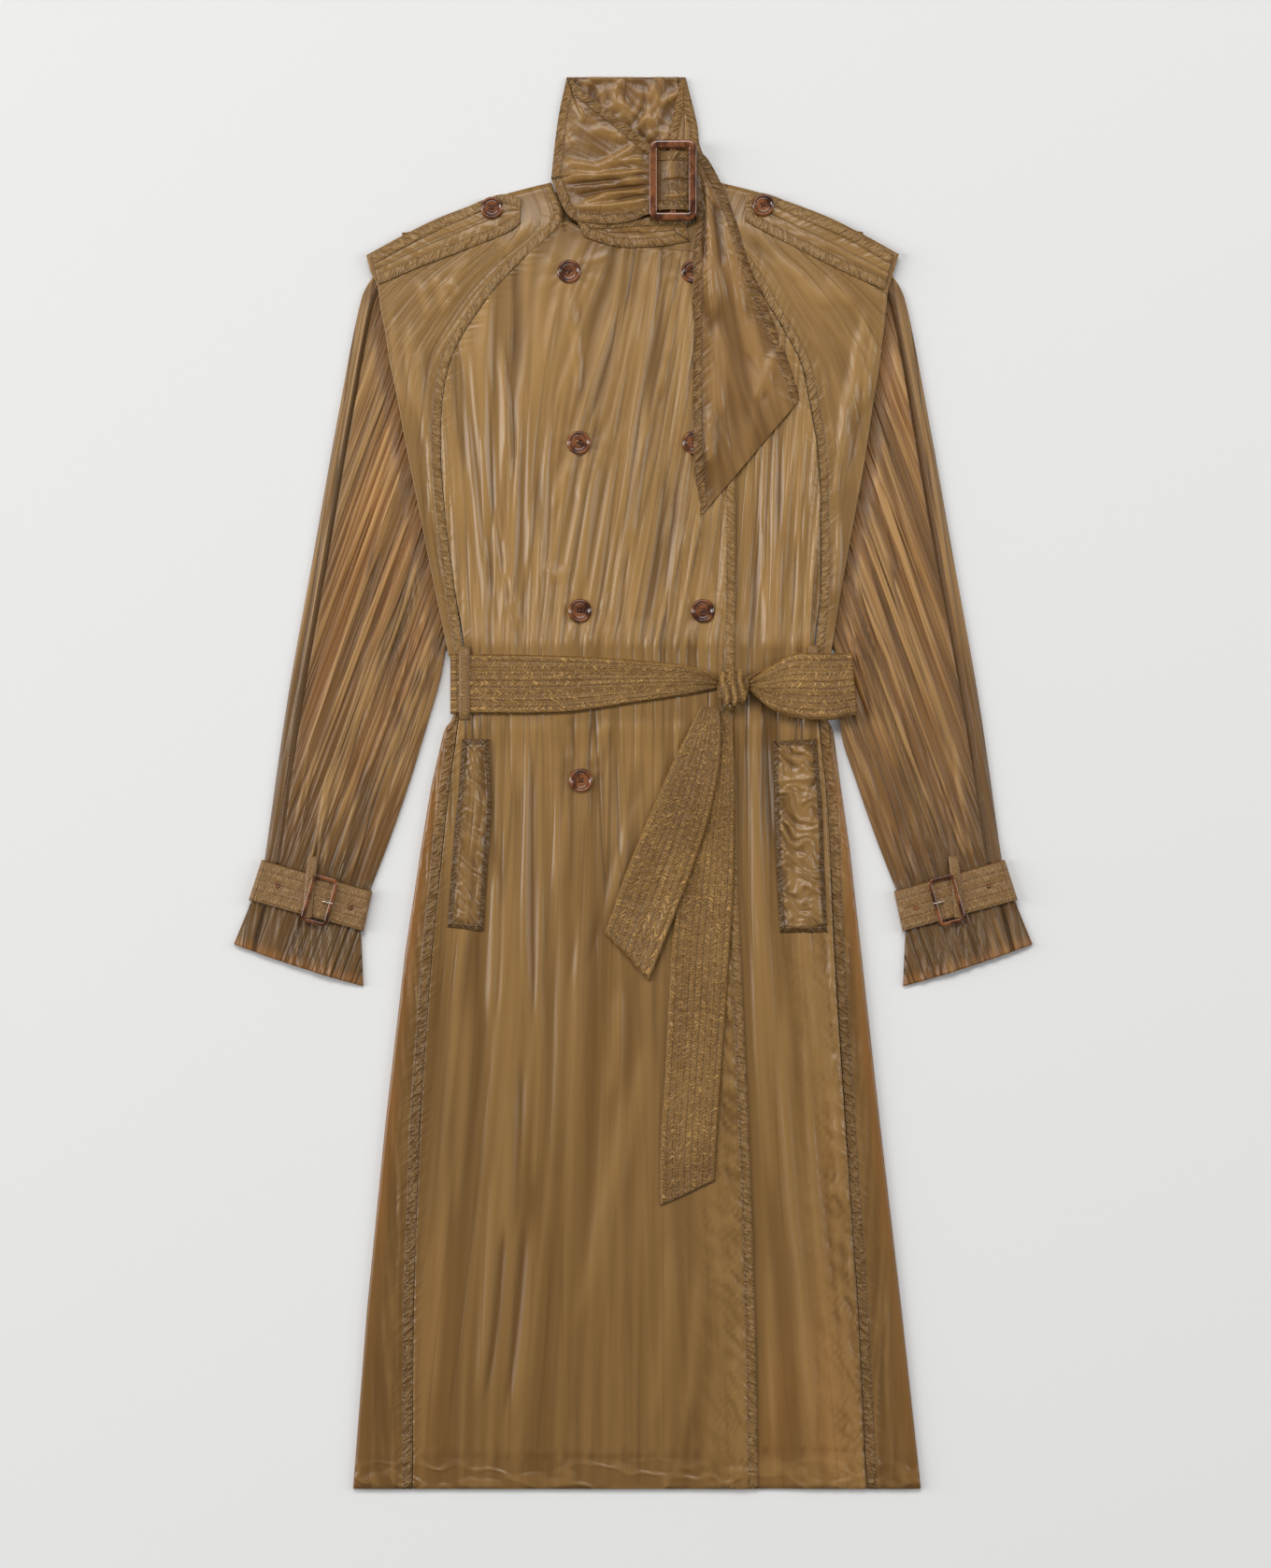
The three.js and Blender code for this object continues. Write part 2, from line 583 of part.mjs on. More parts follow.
// The cuff's buckle, its prong and the loop that keeps the strap up.
const cuffBuckle = { width: 25, height: 45, bar: 3.2, corner: 5, depth: 2, x: 288, y: -108, tilt: 0.277 };
const cuffLoop = { topX: 294.5, topY: -68, lowX: 300, lowY: -124.5, width: 9.5 };
for (const [name, side] of [['right', -1], ['left', 1]]) {
  addPiece(`cuff_strap_${name}`, shell(strapGrid(side), doubledWall, true), stitchedCloth);
  const tilt = side * cuffBuckle.tilt;
  const buckle = addPiece(`cuff_buckle_${name}`, frameGeometry(
    cuffBuckle.width, cuffBuckle.height, cuffBuckle.bar, cuffBuckle.corner, cuffBuckle.depth), horn);
  const buckleZ = strapTopZ + doubledWall / 2 + trimGap + clothWall + trimGap;
  buckle.position.set(side * cuffBuckle.x, cuffBuckle.y, buckleZ);
  buckle.rotation.z = tilt;
  const prongLength = 10;
  const prong = addPiece(`cuff_prong_${name}`, new THREE.BoxGeometry(prongLength, 1.8, 1.2), steel);
  const reach = cuffBuckle.width / 2 - prongLength / 2 + 1.5;
  prong.position.set(side * (cuffBuckle.x - reach * Math.cos(tilt)),
    cuffBuckle.y - reach * Math.sin(cuffBuckle.tilt), buckleZ + cuffBuckle.depth + trimGap + 0.6);
  prong.rotation.z = tilt;
  const half = cuffLoop.width / 2;
  const loopPlan = (u, v) => new THREE.Vector3(
    side * (mix(cuffLoop.topX, cuffLoop.lowX, v) + mix(half, -half, u)), mix(cuffLoop.topY, cuffLoop.lowY, v), 0);
  const overStrap = strapTopZ + doubledWall / 2 + trimGap + clothWall / 2;
  const loop = sheet(loopPlan, (x, y, u, v) => {
    const onSleeve = topOver([sleeves[name]], x, y, 5) + seamGap + clothWall / 2;
    return mix(Math.min(onSleeve, overStrap), overStrap, smooth(v / 0.22));
  }, 2, 10);
  addPiece(`cuff_loop_${name}`, shell(loop, clothWall), cloth);
}

// The epaulettes lie along the shoulder line on the wings, buttoned near the collar.
const epauletteRows = {
  right: table('backX backY frontX frontY', [
    [-103, 538, -104, 515], [-121, 541.5, -112, 508], [-163, 525, -152, 491], [-200, 508, -194, 475],
    [-240, 486, -234, 458],
  ]),
  left: table('backX backY frontX frontY', [
    [103, 541, 104, 517], [118, 543, 112, 512], [163, 525, 152, 491], [203, 507, 194, 470],
    [239, 486, 231, 453],
  ]),
};
const wings = { right: wingRight, left: wingLeft };
const epaulettes = {};
for (const name of ['right', 'left']) {
  const rows = epauletteRows[name];
  const side = name === 'right' ? -1 : 1;
  const backEdge = line(rows.map((row) => [row.backX, row.backY]));
  const frontEdge = line(rows.map((row) => [row.frontX, row.frontY]));
  const plan = side < 0 ? panel(frontEdge, backEdge) : panel(backEdge, frontEdge);
  epaulettes[name] = sheet(plan, (x, y) => (
    topOver([wings[name]], x, y, 8) + layerGap + doubledWall / 2), 3, 8);
  addPiece(`epaulette_${name}`, shell(epaulettes[name], doubledWall), stitchedCloth);
}

// Four-hole buttons with a raised rim; the holes are too small to cut here.
function buttonGeometry(diameter) {
  const r = diameter / 2;
  const profile = [[0, 0], [r * 0.9, 0], [r, 1.6], [r * 0.88, 3], [r * 0.7, 2.3], [0, 2.3]];
  return new THREE.LatheGeometry(profile.map(([x, y]) => new THREE.Vector2(x, y)), 14);
}
function addButton(name, x, y, diameter, grids, wall) {
  const button = addPiece(name, buttonGeometry(diameter), horn);
  button.rotation.x = Math.PI / 2;
  button.position.set(x, y, topOver(grids, x, y, diameter * 0.4, wall) + layerGap);
  return button.position.z;
}
const buttonSize = 22;
const epauletteButtonSize = 20.5;
addButton('epaulette_button_right', -130, 528.5, epauletteButtonSize, [epaulettes.right], doubledWall);
addButton('epaulette_button_left', 119.5, 531, epauletteButtonSize, [epaulettes.left], doubledWall);
const buttonRows = table('outerX edgeX y', [
  [-59, 55, 470], [-50, 56, 312.5], [-49, 64, 158], [-48, 64, 2],
]);
const edgeButtonTop = buttonRows.map((row, i) => {
  addButton(`button_outer_${i + 1}`, row.outerX, row.y, buttonSize, [frontRight], clothWall);
  return addButton(`button_edge_${i + 1}`, row.edgeX, row.y, buttonSize, [frontRight], clothWall) + 3;
});

// The pocket welts on the fronts beside the side seams.
const pocketRows = {
  right: table('outX outY inX inY', [
    [-157, 40, -133, 40], [-160, 0, -130, -22], [-165, -50, -134, -77], [-171, -133, -138, -137],
  ]),
  left: table('outX outY inX inY', [
    [168, 40, 129, 38], [174, -22, 130, -22], [176, -80, 132, -80], [179, -138, 135, -138],
  ]),
};
for (const name of ['right', 'left']) {
  const rows = pocketRows[name];
  const outEdge = line(rows.map((row) => [row.outX, row.outY]));
  const inEdge = line(rows.map((row) => [row.inX, row.inY]));
  const plan = name === 'right' ? panel(outEdge, inEdge) : panel(inEdge, outEdge);
  const welt = sheet(plan, (x, y) => topOver(fronts, x, y, 6) + layerGap + doubledWall / 2, 3, 9);
  addPiece(`pocket_welt_${name}`, shell(welt, doubledWall), cloth);
}

// The belt. Its back stretch lies under the back; each side stretch turns up round the coat's side.
const beltJoinX = 110;
const beltLowZ = beltWall / 2;
const beltBack = sheet(
  (u, v) => new THREE.Vector3(mix(-beltJoinX, beltJoinX, u), mix(beltTopY, beltBottomY, v), 0),
  () => beltLowZ, 6, 2);
addPiece('belt_back', shell(beltBack, beltWall), stitchedCloth);
const waistFront = frontBase(0.5 * (beltTopY + beltBottomY)) + clothWall / 2;
const beltFrontZ = waistFront + layerGap + 0.4 + beltWall / 2;

function beltSide(side, sideX, topLine, bottomLine) {
  const radius = (beltFrontZ - beltLowZ) / 2;
  return steps(4).map((v) => {
    const foldY = mix(beltTopY, beltBottomY, v);
    const centre = new THREE.Vector3(sideX - side * (radius + beltLowZ), foldY, 0);
    const start = new THREE.Vector3(side * (beltJoinX + 0.4), foldY, beltLowZ);
    const outward = new THREE.Vector3(side, 0, 0);
    const floor = steps(3).slice(0, -1).map((t) => start.clone().lerp(centre.clone().setZ(beltLowZ), t));
    const turn = bend(centre, outward, beltLowZ, beltFrontZ, 6);
    const front = steps(9).slice(1).map((t) => {
      const point = topLine(t).lerp(bottomLine(t), v);
      const onFront = topOver(fronts, point.x, point.y, 6) + layerGap + beltWall / 2;
      point.z = Math.max(beltFrontZ, onFront) + 1.2 * smooth(t) * Math.sin(3 * Math.PI * v) ** 2;
      return point;
    });
    return [...floor, ...turn, ...front];
  });
}
const beltRight = beltSide(-1, -169.5,
  line([[-163, beltTopY], [-85, 117], [-5, 113], [61, 105], [78, 96]]),
  line([[-163, beltBottomY], [-61, 64], [-5, 72], [58, 82], [76, 86]]));
const beltLeft = beltSide(1, 182,
  line([[176, beltTopY], [141, 114], [118, 104], [102, 95]]),
  line([[176, beltBottomY], [141, 68], [118, 76], [104, 82]]));
addPiece('belt_right', shell(beltRight, beltWall), stitchedCloth);
addPiece('belt_left', shell(beltLeft, beltWall), stitchedCloth);
const beltStretches = [beltRight, beltLeft];

// The belt's two loose ends hang from the knot over the fronts; the short one crosses on top.
const hiddenButton = { ...buttonRows[3], top: edgeButtonTop[3] };
function overButton(x, y) {
  const distance = Math.hypot(x - hiddenButton.edgeX, y - hiddenButton.y);
  return mix(hiddenButton.top + 2 * layerGap, 0, smooth((distance - 27) / 45));
}
function endHeight(x, y, below, walls) {
  const rest = Math.max(...below.map((grid, i) => topOver([grid], x, y, 10, walls[i])));
  return Math.max(rest + layerGap, overButton(x, y)) + beltWall / 2;
}
const longEndRows = table('leftX leftY rightX rightY', [
  [74, 66, 90, 66], [66, 20, 93, 20], [52, -37, 93.5, -37], [42, -90, 93, -90], [35, -150, 89, -157],
  [32, -210, 86, -205], [29, -270, 82, -262], [25, -330, 78, -318], [25, -389, 75, -366],
]);
const shortEndRows = table('leftX leftY rightX rightY', [
  [62, 70, 79, 68], [52, 50, 80, 40], [38, 22, 78, 6], [14, -32, 68, -40], [-7, -83, 55, -80],
  [-17, -112, 45, -106], [-26, -138, 34, -132], [-8, -158, 22, -166],
]);
const frontWalls = [clothWall, clothWall];
const longEnd = sheet(
  panel(line(longEndRows.map((row) => [row.leftX, row.leftY])),
    line(longEndRows.map((row) => [row.rightX, row.rightY]))),
  (x, y) => endHeight(x, y, fronts, frontWalls), 4, 18);
addPiece('belt_end_long', shell(longEnd, beltWall), stitchedCloth);
const shortTip = line([[-26, -138], [15, -182.5]]);
const shortEnd = sheet(
  panel(line([...shortEndRows.slice(0, -1).map((row) => [row.leftX, row.leftY])]),
    line([...shortEndRows.slice(0, -2).map((row) => [row.rightX, row.rightY]), [15, -182.5]]), null, shortTip),
  (x, y) => endHeight(x, y, [...fronts, longEnd], [...frontWalls, beltWall]), 5, 16);
addPiece('belt_end_short', shell(shortEnd, beltWall), stitchedCloth);

// The bow loop: out from the knot underneath, round at its end, and back on top.
const bowLowZ = beltFrontZ + beltWall + layerGap + 2.2;
const bowHighZ = bowLowZ + beltWall + 2.4;
const bowTop = line([[107, 93], [125, 106], [146, 117.5], [175, 118.5], [197, 118.5]]);
const bowBottom = line([[107, 84], [125, 69], [146, 60], [182, 57.5], [202, 62]]);
const bow = steps(6).map((v) => {
  const along = (t) => bowTop(t).lerp(bowBottom(t), v);
  const puff = (t) => 1.4 * Math.sin(3 * Math.PI * v) ** 2 * (1 - smooth(t * 1.4));
  const lower = steps(4).map((t) => along(t).setZ(bowLowZ));
  const outward = along(1).sub(along(0.95)).normalize();
  const turn = bend(along(1), outward, bowLowZ, bowHighZ).slice(1, -1);
  const upper = steps(4).reverse().map((t) => along(t).setZ(bowHighZ + puff(t)));
  return [...lower, ...turn, ...upper];
});
addPiece('belt_bow', shell(bow, beltWall), stitchedCloth);

// The knot, a tight roll of belt over the crossing, ribbed by its folds.
const knot = { x: 91.5, y: 87, halfX: 15, halfY: 16, halfZ: 7, ribs: 4 };
const knotGeometry = new THREE.SphereGeometry(1, 16, 10);
const knotPoints = knotGeometry.getAttribute('position');
for (let i = 0; i < knotPoints.count; i += 1) {
  const point = new THREE.Vector3().fromBufferAttribute(knotPoints, i);
  const rib = 1 + 0.05 * Math.cos(knot.ribs * Math.PI * point.x);
  const square = (value) => Math.sign(value) * Math.abs(value) ** 0.8;
  knotPoints.setXYZ(i, knot.halfX * square(point.x), knot.halfY * square(point.y) * rib,
    knot.halfZ * square(point.z) * rib);
}
const knotMesh = addPiece('belt_knot', knotGeometry, stitchedCloth);
knotMesh.position.set(knot.x, knot.y, bowHighZ + beltWall / 2);

// The two loops that carry the belt at the sides.
const beltLoops = table('x low high lean', [[-155, 58, 125, 0], [165.5, 58, 126, 2]]);
const loopHalf = 5;
beltLoops.forEach((row, i) => {
  const plan = (u, v) => new THREE.Vector3(
    row.x + mix(-loopHalf, loopHalf, u) + mix(0, row.lean, v), mix(row.high, row.low, v), 0);
  const overBelt = topOver(beltStretches, row.x, 90, 8, beltWall) + seamGap + clothWall / 2;
  const height = (x, y) => {
    const onFront = topOver([...fronts, back, wingRight, wingLeft], x, y, 2) + seamGap + clothWall / 2;
    const over = plateau(y, beltBottomY - 1.5, beltTopY + 1.5, 4);
    return mix(Math.max(onFront, waistFront + 1), overBelt, over);
  };
  const loop = steps(12).map((v) => [0, 0.5, 1].map((u) => {
    const point = plan(u, v);
    return point.setZ(height(point.x, point.y));
  }));
  addPiece(i === 0 ? 'belt_loop_right' : 'belt_loop_left', shell(loop, clothWall), cloth);
});

// The collar. The back part goes on from the back's neck; the others lie in front of it.
const collarTop = 650;
const collarBack = sheet(
  panel(line([[-60.5, collarTop], [-66, 620], [-70, 590], [-75, 557]]),
    line([[48, collarTop], [56, 612], [62, 585], [77, 557]]), null,
    line([[-75, 557], [-40, 549], [0, 547], [40, 549], [77, 557]])),
  () => clothWall / 2, 8, 6);
addPiece('collar_back', shell(collarBack, clothWall), collarCloth);

const collarStep = clothWall + seamGap;
const collarSide = sheet(
  panel(line([[44, collarTop - 2], [32, 593], [27, 572], [24, 548]]),
    line([[48.5, collarTop - 1], [59, 606], [62, 585], [79, 556]])),
  (x, y, u) => clothWall / 2 + collarStep + 2.2 * smooth((1 - u) * 2), 4, 10);
addPiece('collar_side', shell(collarSide, clothWall), collarCloth);

const collarStand = sheet(
  panel(line([[-54, 521], [-45, 502]]), line([[47, 522], [52, 498]]),
    line([[-54, 521], [-30, 518], [0, 520], [47, 522]]), line([[-45, 502], [-15, 493], [19, 493], [52, 498]])),
  (x, y) => topOver(fronts, x, y, 6) + layerGap + clothWall / 2, 10, 3);
addPiece('collar_stand', shell(collarStand, clothWall), collarCloth);

// The wrapped part: folds gather from its turned side edge into the buckle, over the middle bar.
const neckBuckle = {
  x: 36.5, y: 553, width: 44, height: 74, bar: 7.5, corner: 7, depth: 5, bottom: 12.4, middleBar: 5, middleDepth: 1.6,
};
const wrapRight = neckBuckle.x + neckBuckle.width / 2 - 1.5;
const wrapPlan = panel(
  line([[-61, collarTop], [-68, 618], [-72, 590], [-75.5, 556]]),
  line([[wrapRight, 580], [wrapRight, 562], [wrapRight, 544], [wrapRight, 526]]),
  line([[-61, collarTop], [-38, 630], [-14, 611], [10, 591], [24, 580.5], [38, 580], [50, 580],
    [wrapRight, 580]]),
  line([[-75.5, 556], [-58, 520], [-35, 514], [-5, 515.5], [24, 525.5], [38, 526], [50, 526],
    [wrapRight, 526]]));
const wrapUnderBar = neckBuckle.bottom - seamGap - clothWall / 2;
function wrapHeight(x, y, u, v) {
  const turned = smooth(u / 0.12);
  const gather = 1.1 * Math.sin(5 * Math.PI * v) ** 2 * smooth(u * 4) * (1 - smooth((u - 0.33) / 0.1));
  const low = clothWall / 2 + collarStep;
  const overMiddle = neckBuckle.middleDepth + 2 * seamGap + clothWall;
  const hump = overMiddle * plateau(x, neckBuckle.x - 5.5, neckBuckle.x + 7, 6.5);
  return mix(low, Math.min(wrapUnderBar, mix(9.4, wrapUnderBar, smooth((u - 0.22) / 0.2)) + gather), turned) + hump;
}
const wrapStops = [...steps(14).slice(0, -2), 1];
const collarWrap = sheet(wrapPlan, wrapHeight, wrapStops, 10);
addPiece('collar_wrap', shell(collarWrap, clothWall), collarCloth);

// The buckle with its middle bar, which the collar's end passes over.
function solidOf(geometry) {
  const bare = geometry.clone();
  bare.deleteAttribute('normal');
  bare.deleteAttribute('uv');
  const merged = mergeVertices(bare, 1e-4);
  return new wasm.Manifold(new wasm.Mesh({
    numProp: 3,
    vertProperties: merged.getAttribute('position').array,
    triVerts: new Uint32Array(merged.index.array),
  }));
}
function geometryOf(solid) {
  const { vertProperties, triVerts } = solid.getMesh();
  const geometry = new THREE.BufferGeometry();
  geometry.setAttribute('position', new THREE.Float32BufferAttribute(vertProperties, 3));
  geometry.setIndex(Array.from(triVerts));
  geometry.computeVertexNormals();
  return geometry;
}
const frame = frameGeometry(neckBuckle.width, neckBuckle.height, neckBuckle.bar, neckBuckle.corner, neckBuckle.depth);
const middle = new THREE.BoxGeometry(neckBuckle.middleBar, neckBuckle.height - neckBuckle.bar, neckBuckle.middleDepth);
middle.translate(0, 0, neckBuckle.middleDepth / 2);
const buckle = addPiece('neck_buckle', geometryOf(solidOf(frame).add(solidOf(middle))), horn);
buckle.position.set(neckBuckle.x, neckBuckle.y, neckBuckle.bottom);

// The collar's long end hangs from the buckle to a point, over the edge buttons.
const endRows = table('leftX leftY rightX rightY', [
  [wrapRight + 1.2, 526, wrapRight + 1.2, 580], [57.5, 508, 66, 577], [55.5, 485, 79, 556],
  [55, 455, 92, 525], [55, 410, 107, 477], [55, 355, 130, 421], [56, 300, 146, 378], [61, 243, 154, 353],
]);
const hangingOver = [...fronts, wingLeft, collarSide, collarStand];
const collarEnd = sheet(
  panel(line(endRows.map((row) => [row.leftX, row.leftY])), line(endRows.map((row) => [row.rightX, row.rightY]))),
  (x, y, u, v) => {
    const rest = topOver(hangingOver, x, y, 7) + layerGap + clothWall / 2;
    const over = buttonRows.slice(0, 2).map((row, i) => mix(edgeButtonTop[i] + layerGap + clothWall / 2, 0,
      smooth((Math.hypot(x - row.edgeX, y - row.y) - 22) / 36)));
    const fold = 1.6 * Math.sin(3 * Math.PI * u) ** 2 * smooth(v * 6) * (1 - v * 0.6);
    const hung = Math.max(rest, ...over) + fold;
    return mix(wrapUnderBar, hung, smooth(v / 0.12));
  }, 8, 15);
addPiece('collar_end', shell(collarEnd, clothWall), collarCloth);

export default pieces;
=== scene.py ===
"""A long nylon trench coat laid flat on its back, with its belt tied and its collar buckled.

Sizes in the tables are millimetres and become metres where a line or height is made. Right and left
are the wearer's, so the right side has negative X. Heights are above the floor that the coat lies on.
"""
import math

import bmesh
import bpy
import numpy as np
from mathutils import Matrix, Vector


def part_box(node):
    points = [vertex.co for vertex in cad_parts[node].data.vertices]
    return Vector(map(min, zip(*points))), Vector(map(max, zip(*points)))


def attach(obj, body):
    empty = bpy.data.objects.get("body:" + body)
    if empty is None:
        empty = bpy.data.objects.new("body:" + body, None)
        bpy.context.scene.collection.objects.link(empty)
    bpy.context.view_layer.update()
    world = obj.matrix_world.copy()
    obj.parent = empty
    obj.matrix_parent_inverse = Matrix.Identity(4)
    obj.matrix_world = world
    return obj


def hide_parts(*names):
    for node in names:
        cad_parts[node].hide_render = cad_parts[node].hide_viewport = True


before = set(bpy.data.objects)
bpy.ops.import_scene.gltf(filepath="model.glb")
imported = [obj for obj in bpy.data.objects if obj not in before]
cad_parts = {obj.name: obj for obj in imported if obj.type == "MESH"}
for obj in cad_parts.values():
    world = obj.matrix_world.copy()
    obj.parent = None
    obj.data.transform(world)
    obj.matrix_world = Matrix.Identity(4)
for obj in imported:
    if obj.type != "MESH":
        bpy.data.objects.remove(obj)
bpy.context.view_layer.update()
MM = 0.001
BAND = 0.0085  # the stitched band beside the body's seams


# The two fronts. Both are cut from one layer of thin satin nylon with a turned, double-stitched edge.
# The right one lies on top; the left one shows beside its edge. Both are sewn to the shoulder panels
# above the waist and to the back below it.
def smooth(t):
    """From 0 to 1 as t goes from 0 to 1, with soft ends."""
    held = np.clip(t, 0.0, 1.0)
    return held * held * (3.0 - 2.0 * held)


def mix(a, b, t):
    return a + (b - a) * t


def plateau(value, low, high, ramp):
    """1 between low and high, fading to 0 over the ramp on either side."""
    return smooth((value - low) / ramp + 1.0) * smooth((high - value) / ramp + 1.0)


def noise(x, y, seed):
    """Smooth noise from about -1 to 1, with one feature in each unit of x and y."""
    cell_x = np.floor(x)
    cell_y = np.floor(y)
    in_x = x - cell_x
    in_y = y - cell_y

    def lean(i, j):
        drawn = np.sin((cell_x + i) * 127.1 + (cell_y + j) * 311.7 + seed * 74.7) * 43758.5453
        angle = 2.0 * math.pi * (drawn - np.floor(drawn))
        return np.cos(angle) * (in_x - i) + np.sin(angle) * (in_y - j)

    ease_x = in_x**3 * (in_x * (6.0 * in_x - 15.0) + 10.0)
    ease_y = in_y**3 * (in_y * (6.0 * in_y - 15.0) + 10.0)
    near = mix(lean(0, 0), lean(1, 0), ease_x)
    far = mix(lean(0, 1), lean(1, 1), ease_x)
    return 1.5 * mix(near, far, ease_y)


def pleats(across, down, width, length, seed, soft=0.12):
    """Long folds from 0 to 1: round crests that come and go, a width apart, along the down direction."""
    sway = 0.6 * noise(across / (3.0 * width), down / (1.3 * length), seed + 5)
    wave = noise(across / width + sway, down / length, seed)
    crest = 1.0 - np.sqrt(wave * wave + soft * soft)
    strength = 0.7 + 0.4 * noise(across / (2.2 * width), down / (0.8 * length), seed + 9)
    return np.clip(crest, 0.0, 1.0) ** 3 * np.clip(strength, 0.0, 1.2)


def creases(x, y, rows):
    """The height of separate creases. A row has both ends in millimetres, how far the crease bows
    sideways, its half width and its height, which is below 0 for a trough."""
    total = np.zeros_like(x)
    for x1, y1, x2, y2, bow, width, height in rows:
        start = np.array([x1, y1]) * MM
        run = np.array([x2, y2]) * MM - start
        length = np.hypot(*run)
        way = run / length
        along = ((x - start[0]) * way[0] + (y - start[1]) * way[1]) / length
        held = np.clip(along, 0.0, 1.0)
        aside = (y - start[1]) * way[0] - (x - start[0]) * way[1] - bow * MM * 4.0 * held * (1.0 - held)
        fade = smooth(along * 4.0) * smooth((1.0 - along) * 4.0)
        taper = width * MM * (0.65 + 0.35 * np.sin(math.pi * held))
        total += height * MM * fade * np.exp(-((aside / taper) ** 2))
    return total


def curve(points):
    """A smooth plan line through points, read with fractions that step evenly from point to point."""
    p = np.array(points, float) * MM
    last = len(p) - 1

    def at(t):
        place = np.clip(t, 0.0, 1.0) * last
        i = np.minimum(np.floor(place).astype(int), last - 1)
        w = (place - i)[..., None]
        p1 = p[i]
        p2 = p[i + 1]
        p0 = np.where((i > 0)[..., None], p[np.maximum(i - 1, 0)], 2.0 * p1 - p2)
        p3 = np.where((i < last - 1)[..., None], p[np.minimum(i + 2, last)], 2.0 * p2 - p1)
        d0, d1, d2 = (
            np.sum((b - a) ** 2, -1, keepdims=True) ** 0.25 for a, b in ((p0, p1), (p1, p2), (p2, p3))
        )
        lead = ((p1 - p0) / d0 - (p2 - p0) / (d0 + d1) + (p2 - p1) / d1) * d1
        tail = ((p2 - p1) / d1 - (p3 - p1) / (d1 + d2) + (p3 - p2) / d2) * d1
        square = -3.0 * p1 + 3.0 * p2 - 2.0 * lead - tail
        cube = 2.0 * p1 - 2.0 * p2 + lead + tail
        return p1 + lead * w + square * w * w + cube * w**3

    return at


def evenly(line, fractions):
    """The fractions of a line that lie at even shares of its length."""
    steps = np.linspace(0.0, 1.0, 400)
    lengths = np.hypot(*np.diff(line(steps), axis=0).T)
    share = np.concatenate([[0.0], np.cumsum(lengths)]) / lengths.sum()
    return np.interp(fractions, share, steps)


def panel(left, right, top=None, bottom=None):
    """The plan of a panel between edges: u runs from left to right and v from top to bottom."""

    def at(u, v):
        place = mix(left(v), right(v), u[..., None])
        for edge, weight, row in ((top, 1.0 - v, 0.0), (bottom, v, 1.0)):
            if edge is None:
                continue
            row = np.full_like(u, row)
            straight = mix(left(row), right(row), u[..., None])
            place = place + (edge(u) - straight) * weight[..., None]
        return place[..., 0], place[..., 1]

    return at


def reach(x, y, line, count=70):
    """How far points are from a plan line, and how far along it the nearest place is."""
    ends = line(np.linspace(0.0, 1.0, count))
    best = np.full_like(x, 9.0)
    run = np.zeros_like(x)
    gone = 0.0
    for a, b in zip(ends[:-1], ends[1:]):
        step = b - a
        length = max(np.hypot(*step), 1e-9)
        t = np.clip(((x - a[0]) * step[0] + (y - a[1]) * step[1]) / length**2, 0.0, 1.0)
        away = np.hypot(x - a[0] - t * step[0], y - a[1] - t * step[1])
        closer = away < best
        best = np.where(closer, away, best)
        run = np.where(closer, gone + t * length, run)
        gone += length
    return best, run


def nearest(x, y, *lines):
    """The distance to the nearest of several plan lines, and the run along that line."""
    best, run = reach(x, y, lines[0])
    for i, line in enumerate(lines[1:]):
        away, along = reach(x, y, line)
        run = np.where(away < best, along + 3.0 * (i + 1), run)
        best = np.minimum(best, away)
    return best, run


def covered(x, y, outline, ramp):
    """1 well inside an outline in millimetres, 0 at the ramp's distance outside it."""
    corners = np.array(outline, float) * MM
    inside = np.zeros(x.shape, bool)
    best = np.full_like(x, 9.0)
    for a, b in zip(corners, np.roll(corners, -1, axis=0)):
        step = b - a
        t = np.clip(((x - a[0]) * step[0] + (y - a[1]) * step[1]) / (step @ step), 0.0, 1.0)
        best = np.minimum(best, np.hypot(x - a[0] - t * step[0], y - a[1] - t * step[1]))
        crosses = (a[1] > y) != (b[1] > y)
        rise = np.where(abs(step[1]) > 1e-12, step[1], 1e-12)
        inside ^= crosses & (x < a[0] + (y - a[1]) * step[0] / rise)
    return smooth(np.where(inside, best, -best) / (ramp * MM) + 0.5)


# Values for the materials: relief sets painted light and shade, glow a painted orange glow of light through the
# cloth.
ATTRIBUTES = ("across", "down", "seam", "run", "relief", "glow")


